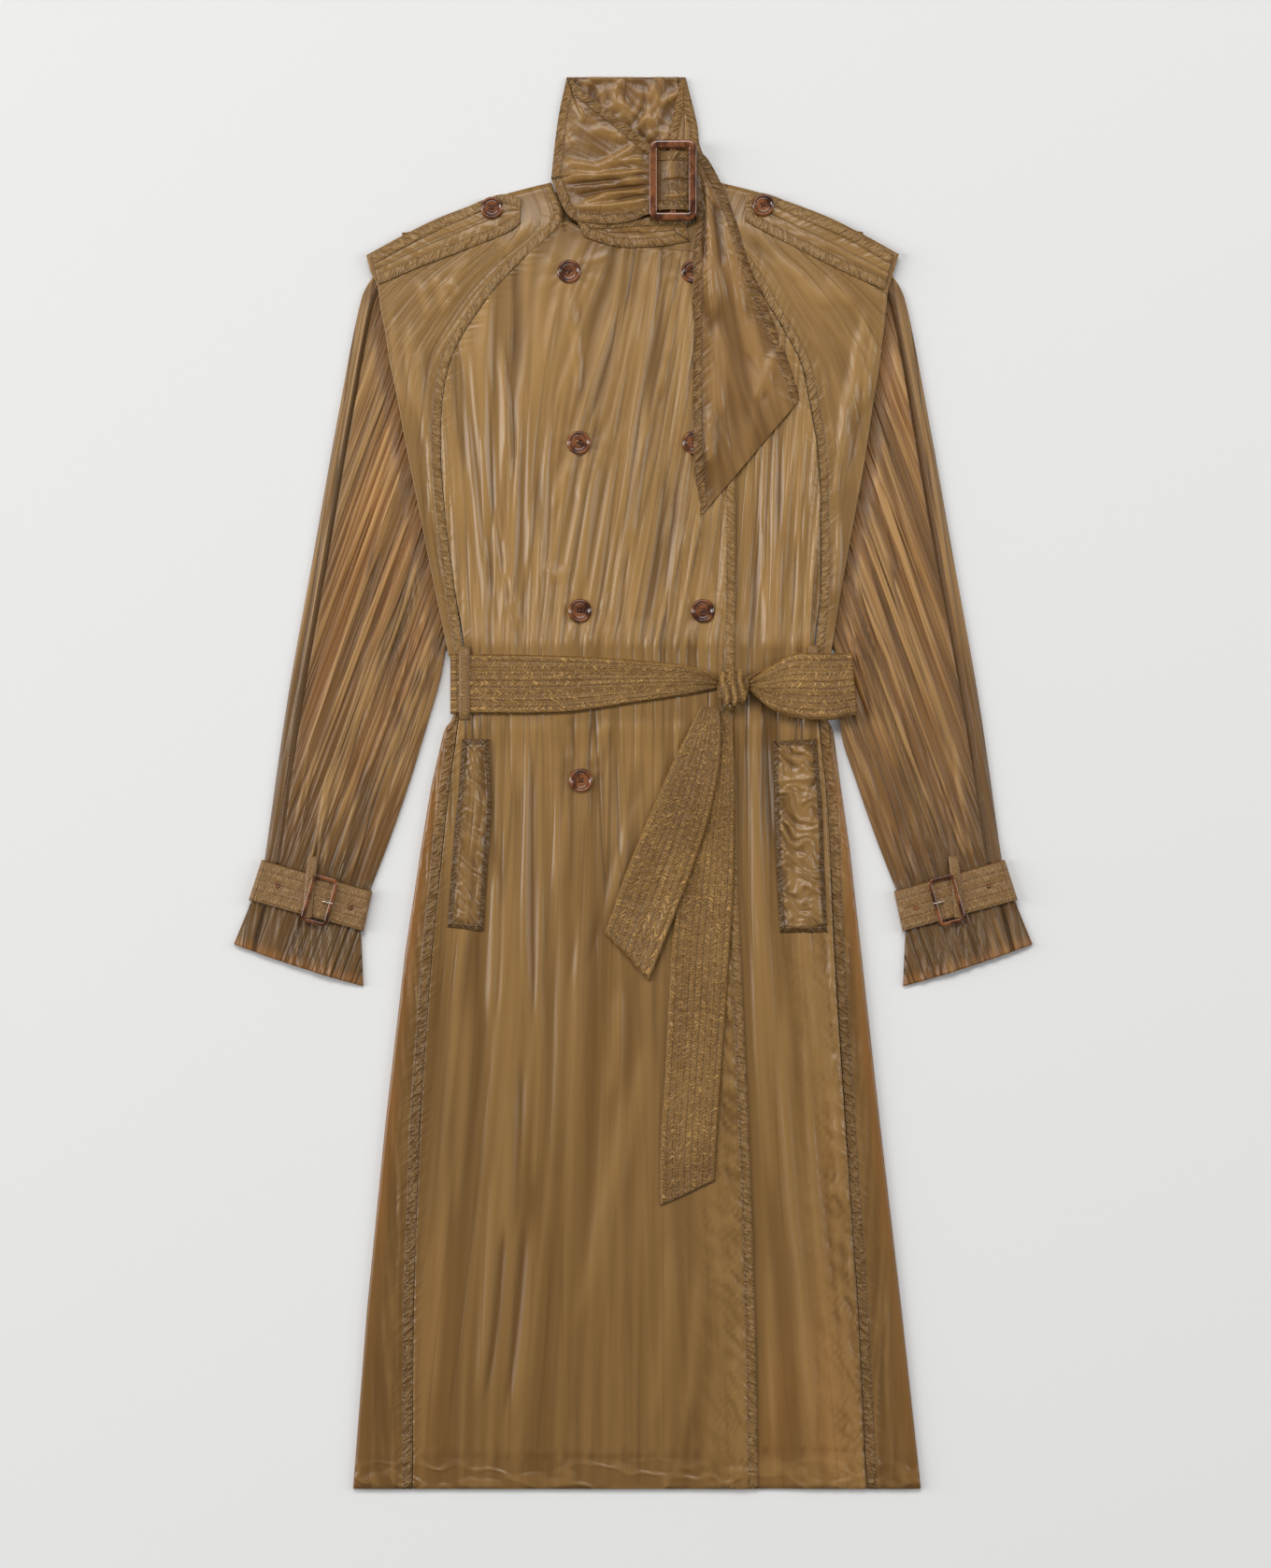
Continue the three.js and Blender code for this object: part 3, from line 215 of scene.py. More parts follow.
def grid_piece(name, columns, rows, place, wall=0.6, closed=False, of=None):
    """A piece of cloth made of a grid. place(u, v) gives its points with v from top to bottom, and
    values for the material. A closed one runs round to its start. A small fitting is part of another
    node's object, which of names."""
    bm = bmesh.new()
    bmesh.ops.create_grid(bm, x_segments=columns, y_segments=rows, size=1.0)
    flat = np.array([vertex.co[:] for vertex in bm.verts])
    x, y, z, values = place((flat[:, 0] + 1.0) / 2.0, (1.0 - flat[:, 1]) / 2.0)
    points = np.stack([x, y, z + np.zeros_like(x)], axis=1)
    for vertex, point in zip(bm.verts, points.tolist()):
        vertex.co = point
    for label in ATTRIBUTES:
        layer = bm.verts.layers.float.new(label)
        if label in values:
            data = (values[label] + np.zeros_like(x)).tolist()
            for vertex, value in zip(bm.verts, data):
                vertex[layer] = value
    if closed:
        bmesh.ops.remove_doubles(bm, verts=bm.verts, dist=1e-6)
        bmesh.ops.recalc_face_normals(bm, faces=bm.faces)
    else:
        bm.normal_update()
        lowest = min(vertex.co.z for vertex in bm.verts)
        rises = [face.calc_center_median().z - lowest for face in bm.faces]
        if sum(face.normal.z * face.calc_area() * rise for face, rise in zip(bm.faces, rises)) < 0.0:
            bmesh.ops.reverse_faces(bm, faces=bm.faces)
    for face in bm.faces:
        face.smooth = True
    title = name + "_fine"
    mesh = bpy.data.meshes.new(title)
    bm.to_mesh(mesh)
    bm.free()
    piece = bpy.data.objects.new(title, mesh)
    bpy.context.scene.collection.objects.link(piece)
    if wall:
        solid = piece.modifiers.new("wall", "SOLIDIFY")
        solid.thickness = wall * MM
        solid.offset = -1.0
    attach(piece, "root")
    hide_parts(of or name)
    return piece


class Value:
    """A socket of a material's nodes that can be added and multiplied like a number."""

    def __init__(self, tree, socket):
        self.tree = tree
        self.socket = socket

    def node(self, kind, settings, inputs, output=0):
        made = self.tree.nodes.new(kind)
        for label, setting in settings.items():
            setattr(made, label, setting)
        for label, value in inputs.items():
            if isinstance(value, Value):
                self.tree.links.new(made.inputs[label], value.socket)
            else:
                made.inputs[label].default_value = value
        return Value(self.tree, made.outputs[output])

    def maths(self, operation, first, second=0.0):
        return self.node("ShaderNodeMath", {"operation": operation}, {0: first, 1: second})

    def __add__(self, other):
        return self.maths("ADD", self, other)

    def __radd__(self, other):
        return self.maths("ADD", other, self)

    def __sub__(self, other):
        return self.maths("SUBTRACT", self, other)

    def __rsub__(self, other):
        return self.maths("SUBTRACT", other, self)

    def __mul__(self, other):
        return self.maths("MULTIPLY", self, other)

    def __rmul__(self, other):
        return self.maths("MULTIPLY", other, self)

    def __truediv__(self, other):
        return self.maths("DIVIDE", self, other)

    def __rtruediv__(self, other):
        return self.maths("DIVIDE", other, self)


def material(name):
    """A new material, its shader and a Value that starts its sums."""
    made = bpy.data.materials.new(name)
    made.use_nodes = True
    shader = made.node_tree.nodes["Principled BSDF"]
    return made, shader, Value(made.node_tree, None)


def attribute(start, name):
    return start.node("ShaderNodeAttribute", {"attribute_name": name}, {}, output="Fac")


def ramp(start, value, low, high):
    """From 0 to 1 as a value goes from low to high, softly."""
    return start.node(
        "ShaderNodeMapRange",
        {"interpolation_type": "SMOOTHSTEP"},
        {"Value": value, "From Min": low, "From Max": high},
    )


def grain(start, x, y, scale, detail=2.0, z=0.0):
    """Noise from 0 to 1 at a place given by two or three sums."""
    place = start.node("ShaderNodeCombineXYZ", {}, {"X": x, "Y": y, "Z": z})
    return start.node(
        "ShaderNodeTexNoise", {}, {"Vector": place, "Scale": scale, "Detail": detail, "Roughness": 0.5}
    )


def tint(start, share, first, second):
    return start.node(
        "ShaderNodeMix",
        {"data_type": "RGBA"},
        {"Factor": share, "A": (*first, 1.0) if isinstance(first, tuple) else first,
         "B": (*second, 1.0) if isinstance(second, tuple) else second},
        output=2,
    )


def link(start, shader, name, value):
    start.tree.links.new(shader.inputs[name], value.socket)


def crests(start, x, y, half, z=0.0):
    """Narrow crests from 0 to 1 that wind along y, where noise crosses its middle value."""
    wave = grain(start, x, y, 1.0, 1.0, z)
    return 1.0 - ramp(start, start.maths("ABSOLUTE", wave - 0.5), 0.0, half)


def nylon(name, plain, deep, bright, band=8.5, pucker=1.0, ripple=1.0, shine=0.33, rate=1.0):
    """Thin satin nylon. Along its seams it has a stitched band drawn into small puckers, and
    lengthwise it has fine folds. Light and shade are painted into its colour: deep is the shaded
    tone and bright the lit one, mixed by the folds' heights. Where light comes through, an orange
    glow is painted in."""
    made, shader, start = material(name)
    across = attribute(start, "across") * rate
    down = attribute(start, "down")
    seam = attribute(start, "seam")
    run = attribute(start, "run")
    relief = attribute(start, "relief")
    glow = attribute(start, "glow")
    cloudy = grain(start, across * 9.0, down * 5.0, 1.0, 3.0)
    banded = 1.0 - ramp(start, seam, (band - 0.8) * MM, (band + 0.8) * MM)
    near = 1.0 - ramp(start, seam, band * MM, (band + 14.0) * MM)
    here = ramp(start, grain(start, across * 20.0, down * 7.0, 1.0, 1.0, 5.0), 0.40, 0.60)
    furrows = crests(start, across * 48.0, down * 1.7, 0.05, 3.0) * here
    fine = crests(start, across * 110.0, down * 3.2, 0.09, 9.0) * (1.0 - here * 0.4)
    swell = grain(start, across * 78.0, down * 3.0, 1.0, 1.0, 2.0) - 0.5
    calm = (ramp(start, down, -0.30, 0.08) * 0.72 + 0.28) * (1.0 - banded * 0.9) * ripple
    lines = (swell * 0.8 - furrows * 0.70 - fine * 0.36) * calm
    slanted = run * 190.0 + seam * 120.0
    puckers = crests(start, slanted, seam * 90.0, 0.16) + grain(start, slanted, seam * 60.0, 1.0, 2.0)
    drawn = crests(start, run * 70.0 + seam * 60.0, seam * 16.0, 0.16, 7.0)
    pull = (puckers * banded + drawn * near * 0.4) * pucker
    rows = 0.0
    for inset in (1.4, band - 1.2):
        close = 1.0 - ramp(start, start.maths("ABSOLUTE", seam - inset * MM), 0.35 * MM, 0.9 * MM)
        stitch = start.maths("SINE", run * (2.0 * math.pi / (3.1 * MM))) * 0.3 + 0.7
        rows = rows + close * stitch
    hem = 1.0 - ramp(start, down, -0.634, -0.618)
    crinkles = crests(start, across * 34.0 + down * 26.0, down * 40.0 - across * 9.0, 0.12, 11.0) * hem
    height = (pull + lines + crinkles * 0.9 - rows * 0.25) * MM
    # Painted light and shade: higher folds and ridges lighter; troughs, furrows and puckers darker.
    shade = relief * 0.70 + (cloudy - 0.5) * 0.25 + lines * 0.5
    shade = shade + (pull - 0.85) * 0.45 * banded + crinkles * 0.35
    colour = tint(start, ramp(start, shade, -0.6, 0.6), deep, bright)
    colour = tint(start, 0.4, colour, plain)
    # Painted glow: where light comes through, the colour turns orange, lighter on the folds' crests.
    lit = tint(start, ramp(start, shade, -0.4, 0.5), (0.36, 0.145, 0.032), (0.56, 0.28, 0.090))
    colour = tint(start, glow, colour, lit)
    # Painted shade: the colour darkens towards the hem.
    height_up = start.node("ShaderNodeSeparateXYZ", {}, {
        "Vector": start.node("ShaderNodeTexCoord", {}, {}, output=3)}, output=1)
    colour = tint(start, ramp(start, height_up, 0.26, -0.34) * 0.36, colour, (0.10, 0.046, 0.010))
    # Painted shade darkens the narrow furrows; the same dark tone marks the seam bands and stitch rows.
    furrow_shade_and_seam_dark = tuple(0.5 * c for c in deep)
    colour = tint(start, (furrows * 0.30 + fine * 0.16) * calm, colour, furrow_shade_and_seam_dark)
    colour = tint(start, banded * 0.15, colour, furrow_shade_and_seam_dark)
    colour = tint(start, rows * 0.30, colour, furrow_shade_and_seam_dark)
    bumped = start.node("ShaderNodeBump", {}, {"Height": height, "Distance": 1.0, "Strength": 1.0})
    rough = ramp(start, cloudy, 0.2, 0.8) * 0.08 + (shine - 0.04) + banded * 0.06
    link(start, shader, "Base Color", colour)
    link(start, shader, "Roughness", rough)
    link(start, shader, "Normal", bumped)
    shader.inputs["IOR"].default_value = 1.5
    shader.inputs["Specular IOR Level"].default_value = 0.45
    return made


def wears(piece, cloth):
    piece.data.materials.append(cloth)


body_nylon = nylon("body nylon", (0.285, 0.152, 0.041), (0.095, 0.041, 0.007), (0.425, 0.243, 0.082))

FRONT_RIGHT = [
    (-65, 519, 86, 488), (-100, 483, 94, 460), (-124, 458, 94, 440), (-144, 431, 94, 418),
    (-163, 400, 94, 392), (-172, 372, 94, 368), (-177, 316, 94, 314), (-173, 250, 94, 250),
    (-165, 185, 94, 185), (-155, 118, 93, 116), (-160, 63, 92, 63), (-170, -11, 93, -11),
    (-175, -58, 95, -58), (-185, -157, 99, -157), (-196, -312, 106, -312), (-202, -484, 112, -484),
    (-203, -650, 115, -650),
]
FRONT_LEFT = [
    (-80, 484, 68, 517), (-80, 460, 103, 475), (-80, 438, 127, 435), (-80, 410, 142, 410),
    (-80, 386, 154, 386), (-80, 345, 163, 345), (-80, 298, 170, 298), (-80, 238, 172, 238),
    (-80, 176, 172, 176), (-79, 118, 166, 118), (-79, 63, 170, 63), (-79, -11, 178, -11),
    (-80, -58, 181, -58), (-84, -157, 185, -157), (-92, -312, 195, -312), (-97, -484, 207, -484),
    (-100, -650, 215, -650),
]
# Outlines of what lies on the fronts, where their folds are pressed flat.
END_OUTLINE = [
    (57, 585), (62, 579), (78, 556), (92, 525), (107, 477), (130, 421), (154, 353), (61, 243),
    (55, 300), (55, 462),
]
LONG_OUTLINE = [
    (74, 90), (66, 20), (52, -37), (42, -90), (32, -210), (25, -330), (25, -389), (75, -366),
    (82, -262), (89, -157), (93, -60), (93, 20), (91, 90),
]
SHORT_OUTLINE = [
    (66, 90), (52, 50), (38, 22), (14, -32), (-7, -83), (-26, -138), (15, -183), (34, -132),
    (55, -80), (78, 6), (80, 90),
]
POCKET_RIGHT = [
    (-157, 40), (-133, 40), (-130, -22), (-134, -77), (-138, -137), (-171, -133), (-165, -50),
    (-160, 0),
]
POCKET_LEFT = [(129, 38), (168, 40), (176, -80), (179, -138), (135, -138), (130, -22)]


def columns_of(table, first, second):
    """Two plan lines, through two columns of points in a table of rows."""
    return (
        curve([(row[first], row[first + 1]) for row in table]),
        curve([(row[second], row[second + 1]) for row in table]),
    )


def front_level(y):
    """The height of the front's upper face, without its folds."""
    plain = mix(5.8, 6.8, smooth((y - 0.118) / 0.150))
    return (plain + 2.4 * plateau(y, 0.057, 0.124, 0.030)) * MM


def pressed(x, y):
    """How far the fronts' folds are flattened by what lies on them, from 0 to 1."""
    under = plateau(y, 0.060, 0.121, 0.010) * 0.85
    for outline in (END_OUTLINE, LONG_OUTLINE, SHORT_OUTLINE, POCKET_RIGHT, POCKET_LEFT):
        under = np.maximum(under, 0.8 * covered(x, y, outline, 14.0))
    return under


CHEST_CREASES = [
    (-124, 412, -113, 272, 2, 4.0, 1.9), (-118, 408, -109, 270, 2, 2.6, -1.5),
    (-158, 392, -128, 132, -4, 4.2, 1.2), (-150, 350, -120, 128, -3, 3.0, -1.0),
    (-140, 330, -112, 126, -2, 3.4, 1.1), (-133, 300, -106, 126, -2, 2.4, -1.0),
    (-126, 260, -99, 126, -2, 2.8, 1.3), (-62, 455, -50, 350, 3, 4.0, 1.2),
    (-72, 452, -78, 360, -2, 3.6, 1.0), (-50, 455, -47, 340, 2, 2.6, -0.9),
    (-2, 458, -38, 320, 5, 7.0, 1.7), (-14, 440, -44, 322, 4, 3.2, -1.3),
    (-38, 318, -60, 150, 6, 5.0, 1.5), (-46, 296, -52, 262, 1, 3.0, 1.4),
    (-56, 296, -74, 248, -2, 4.5, 1.3), (16, 350, -22, 168, 4, 5.5, 1.7),
    (8, 342, -28, 164, 4, 3.0, -1.2), (36, 470, 24, 338, 3, 4.2, 1.3),
    (33, 402, 22, 340, 2, 3.0, -1.7), (52, 440, 40, 330, 2, 3.4, 1.0),
    (50, 300, 32, 132, -2, 3.2, 1.5), (45, 292, 27, 130, -2, 2.2, -1.5),
    (39, 268, 22, 128, -2, 2.6, 1.2), (33, 240, 14, 128, -2, 2.0, -1.2),
    (-84, 200, -70, 186, 2, 4.0, 1.5), (-70, 186, -60, 196, 2, 4.0, 1.3),
    (-84, 240, -90, 150, 2, 5.0, 1.3), (2, 250, -6, 130, 2, 4.5, 1.3),
    (-5, 240, -16, 130, 2, 2.8, -1.1), (70, 200, 74, 128, 1, 3.0, 1.0),
    (56, 148, 48, 126, 1, 3.0, 1.2), (-42, 146, -40, 126, 0, 3.4, 1.3),
    (-57, 146, -63, 126, 0, 3.4, 1.2), (-26, 180, -30, 126, 0, 3.2, 1.1),
    (84, 236, 86, 130, 0, 3.0, 0.9), (-20, 488, -46, 478, 1, 3.0, 0.9),
]
SKIRT_CREASES = [
    (-92, 56, -90, -250, -2, 3.4, -1.5), (-98, 56, -97, -240, -2, 4.5, 1.5),
    (-128, -60, -134, -232, 2, 4.6, 2.0), (-122, -40, -127, -236, 2, 3.0, -1.5),
    (-86, -170, -92, -390, 3, 4.6, 1.4), (-104, -240, -110, -430, 3, 4.0, -1.4),
    (-112, -270, -124, -440, 3, 5.0, 1.5), (-118, -390, -139, -580, 4, 3.6, -1.5),
    (-128, -330, -146, -590, 4, 5.5, 1.5), (-100, -390, -122, -600, 4, 3.6, -1.3),
    (-92, -380, -112, -600, 4, 5.5, 1.3), (-30, 56, -36, 14, 0, 4.4, 1.4),
    (-20, 56, -26, 4, 0, 3.2, -1.1), (-58, 56, -60, 16, 0, 4.6, 1.3),
    (14, 0, -30, -140, -4, 6.0, 1.5), (-14, -180, -24, -300, 3, 6.0, 1.3),
    (-60, 52, -72, -110, 3, 6.0, 1.2), (-44, -10, -62, -200, 4, 4.6, -1.0),
    (-10, -30, -48, -180, 4, 5.0, -1.0), (16, -220, -36, -430, 6, 8.0, 1.3),
    (-4, -260, -60, -520, 8, 8.0, 1.0), (60, -430, 46, -610, 3, 6.0, 1.1),
    (34, -410, 18, -600, 3, 7.0, 1.0), (-170, -300, -186, -600, 2, 5.0, 1.0),
    (-150, -180, -166, -420, 2, 6.0, 1.2), (-30, 36, -40, -4, 1, 3.0, 1.0),
    (110, 50, 118, -180, -2, 3.6, 1.5), (105, 30, 110, -340, -2, 3.0, -1.6),
    (116, -100, 132, -400, -4, 6.5, 1.4), (122, 54, 128, -60, 0, 2.6, -1.4),
    (140, -170, 152, -460, -4, 6.0, 1.2), (160, -200, 176, -480, -3, 5.0, 1.1),
    (126, -420, 130, -610, -2, 6.0, 0.9), (150, -380, 168, -600, -3, 5.0, 1.0),
    (187, -260, 196, -400, -3, 4.0, 1.1), (176, -320, 192, -520, -2, 4.0, -1.0),
]
BUTTON_PLACES = [(-59, 470), (-50, 312.5), (-49, 158), (-48, 2), (55, 470), (56, 312.5), (64, 158), (64, 2)]


def button_pull(x, y):
    """Small creases that run out from under each button, longest downwards and upwards."""
    total = np.zeros_like(x)
    for i, (bx, by) in enumerate(BUTTON_PLACES):
        far = np.hypot(x - bx * MM, (y - by * MM) * 0.6)
        angle = np.arctan2(y - by * MM, x - bx * MM)
        rays = noise(angle * 3.2 + 11.0 * i, far * 20.0, 31 + i)
        total += rays * 0.0013 * smooth((far - 0.007) / 0.006) * np.exp(-far / 0.016)
    return total


def cloth_across(x, y):
    """Place across the folds: they lean over the chest, and spread towards the hem."""
    lean = np.interp(x, [-0.160, -0.020, 0.060, 0.120], [-0.06, 0.17, 0.17, 0.05])
    lean = lean * smooth((y - 0.110) / 0.050)
    spread = x * (1.0 - 0.28 * smooth((0.06 - y) / 0.75))
    return spread - lean * (y - 0.118)


def front_folds(x, y):
    """The fronts' folds: long slanting ones over the chest, gathers at the belt, upright ones below."""
    across = cloth_across(x, y)
    chest = 4.0 * pleats(across, y, 0.0125, 0.26, 3, 0.06) + 2.8 * pleats(across, y, 0.0070, 0.16, 17, 0.06)
    skirt = 2.8 * pleats(across, y, 0.024, 0.60, 41, 0.05) + 0.8 * pleats(across, y, 0.010, 0.40, 53, 0.06)
    skirt = skirt * mix(1.0, 0.65, smooth((-0.20 - y) / 0.3))
    upper = smooth((y - 0.080) / 0.020)
    chest = chest * mix(0.65, 1.0, plateau(y, 0.10, 0.40, 0.08))
    waist = np.exp(-np.abs(y - 0.090) / 0.045)
    gathers = 1.6 * waist * pleats(x, y, 0.008, 0.07, 67)
    folds = (mix(skirt, chest, upper) + gathers) * MM
    folds = folds * smooth((0.512 - y) / 0.05) + creases(x, y, CHEST_CREASES)
    folds = folds + 0.95 * creases(x, y, SKIRT_CREASES)
    return folds + button_pull(x, y) - 0.0008


def edge_crumples(away, run, y, seed):
    """Slanting crumples beside a stitched edge below the belt, where the stitching draws it in."""
    beside = np.maximum(away - BAND, 0.0)
    slant = run + 1.1 * beside
    large = pleats(slant, beside, 0.012, 0.022, seed, 0.05)
    small = 0.5 * pleats(slant, beside, 0.006, 0.015, seed + 3)
    fade = np.exp(-beside / 0.020) * smooth((-0.06 - y) / 0.12)
    return 5.0 * MM * (large + small - 0.15) * smooth((away - BAND) / 0.004) * fade


def hem_puckers(x, low):
    """The hem's row of stitches, a shallow trough, and the small puckers on both sides of it."""
    pulled = noise(x / 0.007, low / 0.012, 71) * np.exp(-low / 0.007)
    return (0.8 * pulled - 0.8 * np.exp(-low / 0.0016)) * MM


def front_right_place(u, v):
    seam, edge = columns_of(FRONT_RIGHT, 0, 2)
    neck = curve([(-65, 519), (-52, 513), (-17, 497), (30, 491), (86, 488)])
    plan = panel(seam, edge, neck)
    x, y = plan(u, evenly(seam, v))
    hem_top = curve([(-203, -621), (0, -620), (115, -618)])
    edge_away, edge_run = reach(x, y, edge)
    side_away, side_run = nearest(x, y, seam, neck)
    run = np.where(side_away + BAND < edge_away, side_run, edge_run)
    away = np.minimum(edge_away, side_away + BAND)
    loose = 1.0 - pressed(x, y)
    low, _ = reach(x, y, hem_top)
    relief = front_folds(x, y) * loose * smooth((y + 0.650) / 0.05 + 0.35)
    relief = relief * smooth(edge_away / 0.012) + 0.0007 * np.exp(-edge_away / 0.006)
    relief = relief + edge_crumples(edge_away, edge_run, y, 74)
    relief = relief + hem_puckers(x, low)
    z = front_level(y) + relief - 0.0006 * np.exp(-edge_away / 0.0012)
    # Painted glow: orange light coming through the cloth near the right side, low on the skirt.
    glow_area = covered(x, y, [(-186, -430), (-170, -420), (-172, -640), (-196, -640)], 60.0)
    glow = 0.38 * glow_area * (0.5 + 0.5 * noise(x * 16.0, y * 7.0, 5))
    hem_band = plateau(y, -0.648, -0.622, 0.002)
    return x, y, z, {
        "across": cloth_across(x, y), "down": y, "seam": away, "run": run,
        "relief": np.clip(relief / mix(0.0018, 0.0022, smooth((y + 0.10) / 0.18)), -1, 1) - 0.25 * hem_band,
        "glow": np.clip(glow, 0, 1),
    }


front_right = grid_piece("front_right", 148, 284, front_right_place)
wears(front_right, body_nylon)


def front_left_place(u, v):
    edge, seam = columns_of(FRONT_LEFT, 0, 2)
    across = np.where(u < 0.1, u * 6.0, 0.6 + (u - 0.1) * (0.4 / 0.9))
    plan = panel(edge, seam)
    right_seam, right_edge = columns_of(FRONT_RIGHT, 0, 2)
    x, y = plan(across, evenly(seam, v))
    hem_top = curve([(-100, -616), (115, -616), (216, -614)])
    away, run = reach(x, y, seam)
    away = away + BAND
    low, _ = reach(x, y, hem_top)
    levels = np.linspace(0.0, 1.0, 200)
    over = right_edge(levels)
    past = x - np.interp(y, over[::-1, 1], over[::-1, 0])
    opened = smooth((past - 0.006) / 0.045)
    loose = (1.0 - pressed(x, y)) * smooth((past - 0.002) / 0.014)
    relief = front_folds(x, y) * loose * smooth((y + 0.650) / 0.05 + 0.35)
    relief = relief + hem_puckers(x, low) + edge_crumples(away, run, y, 78)
    z = front_level(y) - 0.0018 * (1.0 - opened) + relief
    # Painted glow: orange light coming through the cloth near the left side, low on the skirt.
    glow_area = covered(x, y, [(140, -520), (186, -300), (208, -640), (120, -640)], 70.0)
    glow = 0.60 * glow_area * np.clip(0.45 + 0.9 * noise(x * 18.0, y * 6.0, 7), 0, 1)
    return x, y, z, {
        "across": cloth_across(x, y), "down": y, "seam": away, "run": run,
        "relief": np.clip(relief / mix(0.0018, 0.0022, smooth((y + 0.10) / 0.18)), -1, 1),
        "glow": np.clip(glow, 0, 1),
    }


front_left = grid_piece("front_left", 76, 266, front_left_place)
wears(front_left, body_nylon)


# The back. It is one panel; below the waist it turns up round both sides of the coat to the front
# seams, so a strip of it shows at each side. Above the waist it lies hidden under the front.
SIDE_FOLDS = [
    (118, -164.5, 176.5), (60, -165, 177.5), (49, -174, 184), (-3, -186, 191), (-58, -195, 199),
    (-157, -210, 210), (-312, -228, 227), (-484, -245, 247), (-650, -258, 265),
]
ARMHOLE_RIGHT = [
    (-216, 506), (-214, 481), (-208, 462), (-203, 436), (-199, 420), (-195, 393), (-190, 360),
    (-183, 309), (-179, 248), (-169, 183), (-158, 123),
]
ARMHOLE_LEFT = [
    (215, 507), (212, 479), (206, 456), (203, 432), (200, 407), (198, 383), (193, 345), (186, 298),
    (178, 236), (176, 176), (169, 123),
]


def reading(table, key, column, at):
    """A column of a table at values of its key column, which goes down, in metres."""
    rows = np.array(table, float)[::-1] * MM
    return np.interp(at, rows[:, key], rows[:, column])


def back_place(u, v):
    upper = v < 0.3
    climb = np.clip(v / 0.3, 0.0, 1.0)
    hole_right = curve(ARMHOLE_RIGHT)(climb)
    hole_left = curve(ARMHOLE_LEFT)(climb)
    y = np.where(upper, mix(hole_right[:, 1], hole_left[:, 1], u), mix(0.123, -0.650, (v - 0.3) / 0.7))
    joined = smooth((0.123 - y) / 0.004)
    right = mix(hole_right[:, 0] + 0.003, reading(SIDE_FOLDS, 0, 1, y), joined)
    left = mix(hole_left[:, 0] - 0.003, reading(SIDE_FOLDS, 0, 2, y), joined)
    seam_right = reading([row[1::-1] for row in FRONT_RIGHT], 0, 1, y) - 0.0006
    seam_left = reading([row[3:1:-1] for row in FRONT_LEFT], 0, 1, y) + 0.0006
    low = (2.8 * plateau(y, 0.059, 0.122, 0.012)) * MM
    level = mix(low + 0.0034, front_level(y), joined)
    half = (level - low) / 2.0
    back_right = np.maximum(np.where(upper, 0.006, seam_right - right), half + 0.001)
    back_left = np.maximum(np.where(upper, 0.006, left - seam_left), half + 0.001)
    side = np.where(u < 0.5, -1.0, 1.0)
    inward = np.where(u < 0.5, u, 1.0 - u)
    fold = np.where(u < 0.5, right, left)
    deep = np.where(u < 0.5, back_right, back_left)
    on_top = inward < 0.32
    turning = (inward >= 0.32) & (inward < 0.42)
    share = inward / 0.32
    angle = math.pi * (0.5 - (inward - 0.32) / 0.1)
    under = (inward - 0.42) / 0.08
    centre = fold - side * half
    x = np.where(
        on_top, fold - side * mix(deep, half, share),
        np.where(turning, centre + side * half * np.cos(angle), centre * (1.0 - np.clip(under, 0.0, 1.0))),
    )
    middle = (level + low) / 2.0
    strip = np.abs(x - np.where(u < 0.5, seam_right, seam_left))
    ripple = 1.5 * pleats(x - side * 0.05 * y, y, 0.010, 0.16, 83) + 0.8 * pleats(x, y, 0.006, 0.05, 87)
    diagonal = noise((y + 1.3 * strip) / 0.012, strip / 0.020, 91) * np.exp(-strip / 0.012)
    relief = (ripple * smooth(strip / 0.010) + 0.7 * diagonal - 0.5) * MM
    relief = relief * on_top * joined * smooth(share * 3.0) * smooth((1.0 - share) * 3.0)
    z = np.where(on_top, level + relief, np.where(turning, middle + half * np.sin(angle), low))
    raised = np.where(v < 0.001, 1.0 - smooth((np.abs(x) - 0.070) / 0.150), 0.0)
    y = y + raised * (0.545 - y)
    outer = np.clip(1.0 - np.abs(x - fold) / 0.016, 0.0, 1.0)
    # Painted glow: orange light coming through the cloth beside the side folds, below the waist.
    edge_glow = smooth(outer * 1.2) * smooth((0.10 - y) / 0.12) * mix(1.0, 0.45, smooth((-0.25 - y) / 0.3))
    edge_glow = edge_glow * np.clip(0.75 + 0.5 * noise(y * 14.0, side * 2.0 + x * 10.0, 93), 0, 1)
    hem = plateau(y, -0.648, -0.620, 0.002)
    return x, y, z, {
        "across": x, "down": y, "seam": np.where(strip < 0.03, strip, 0.03), "run": y,
        "relief": np.clip(relief / 0.0015, -1, 1) - 0.35 - 0.2 * hem, "glow": 0.75 * np.clip(edge_glow, 0, 1),
    }


back = grid_piece("back", 88, 200, back_place)
wears(back, body_nylon)


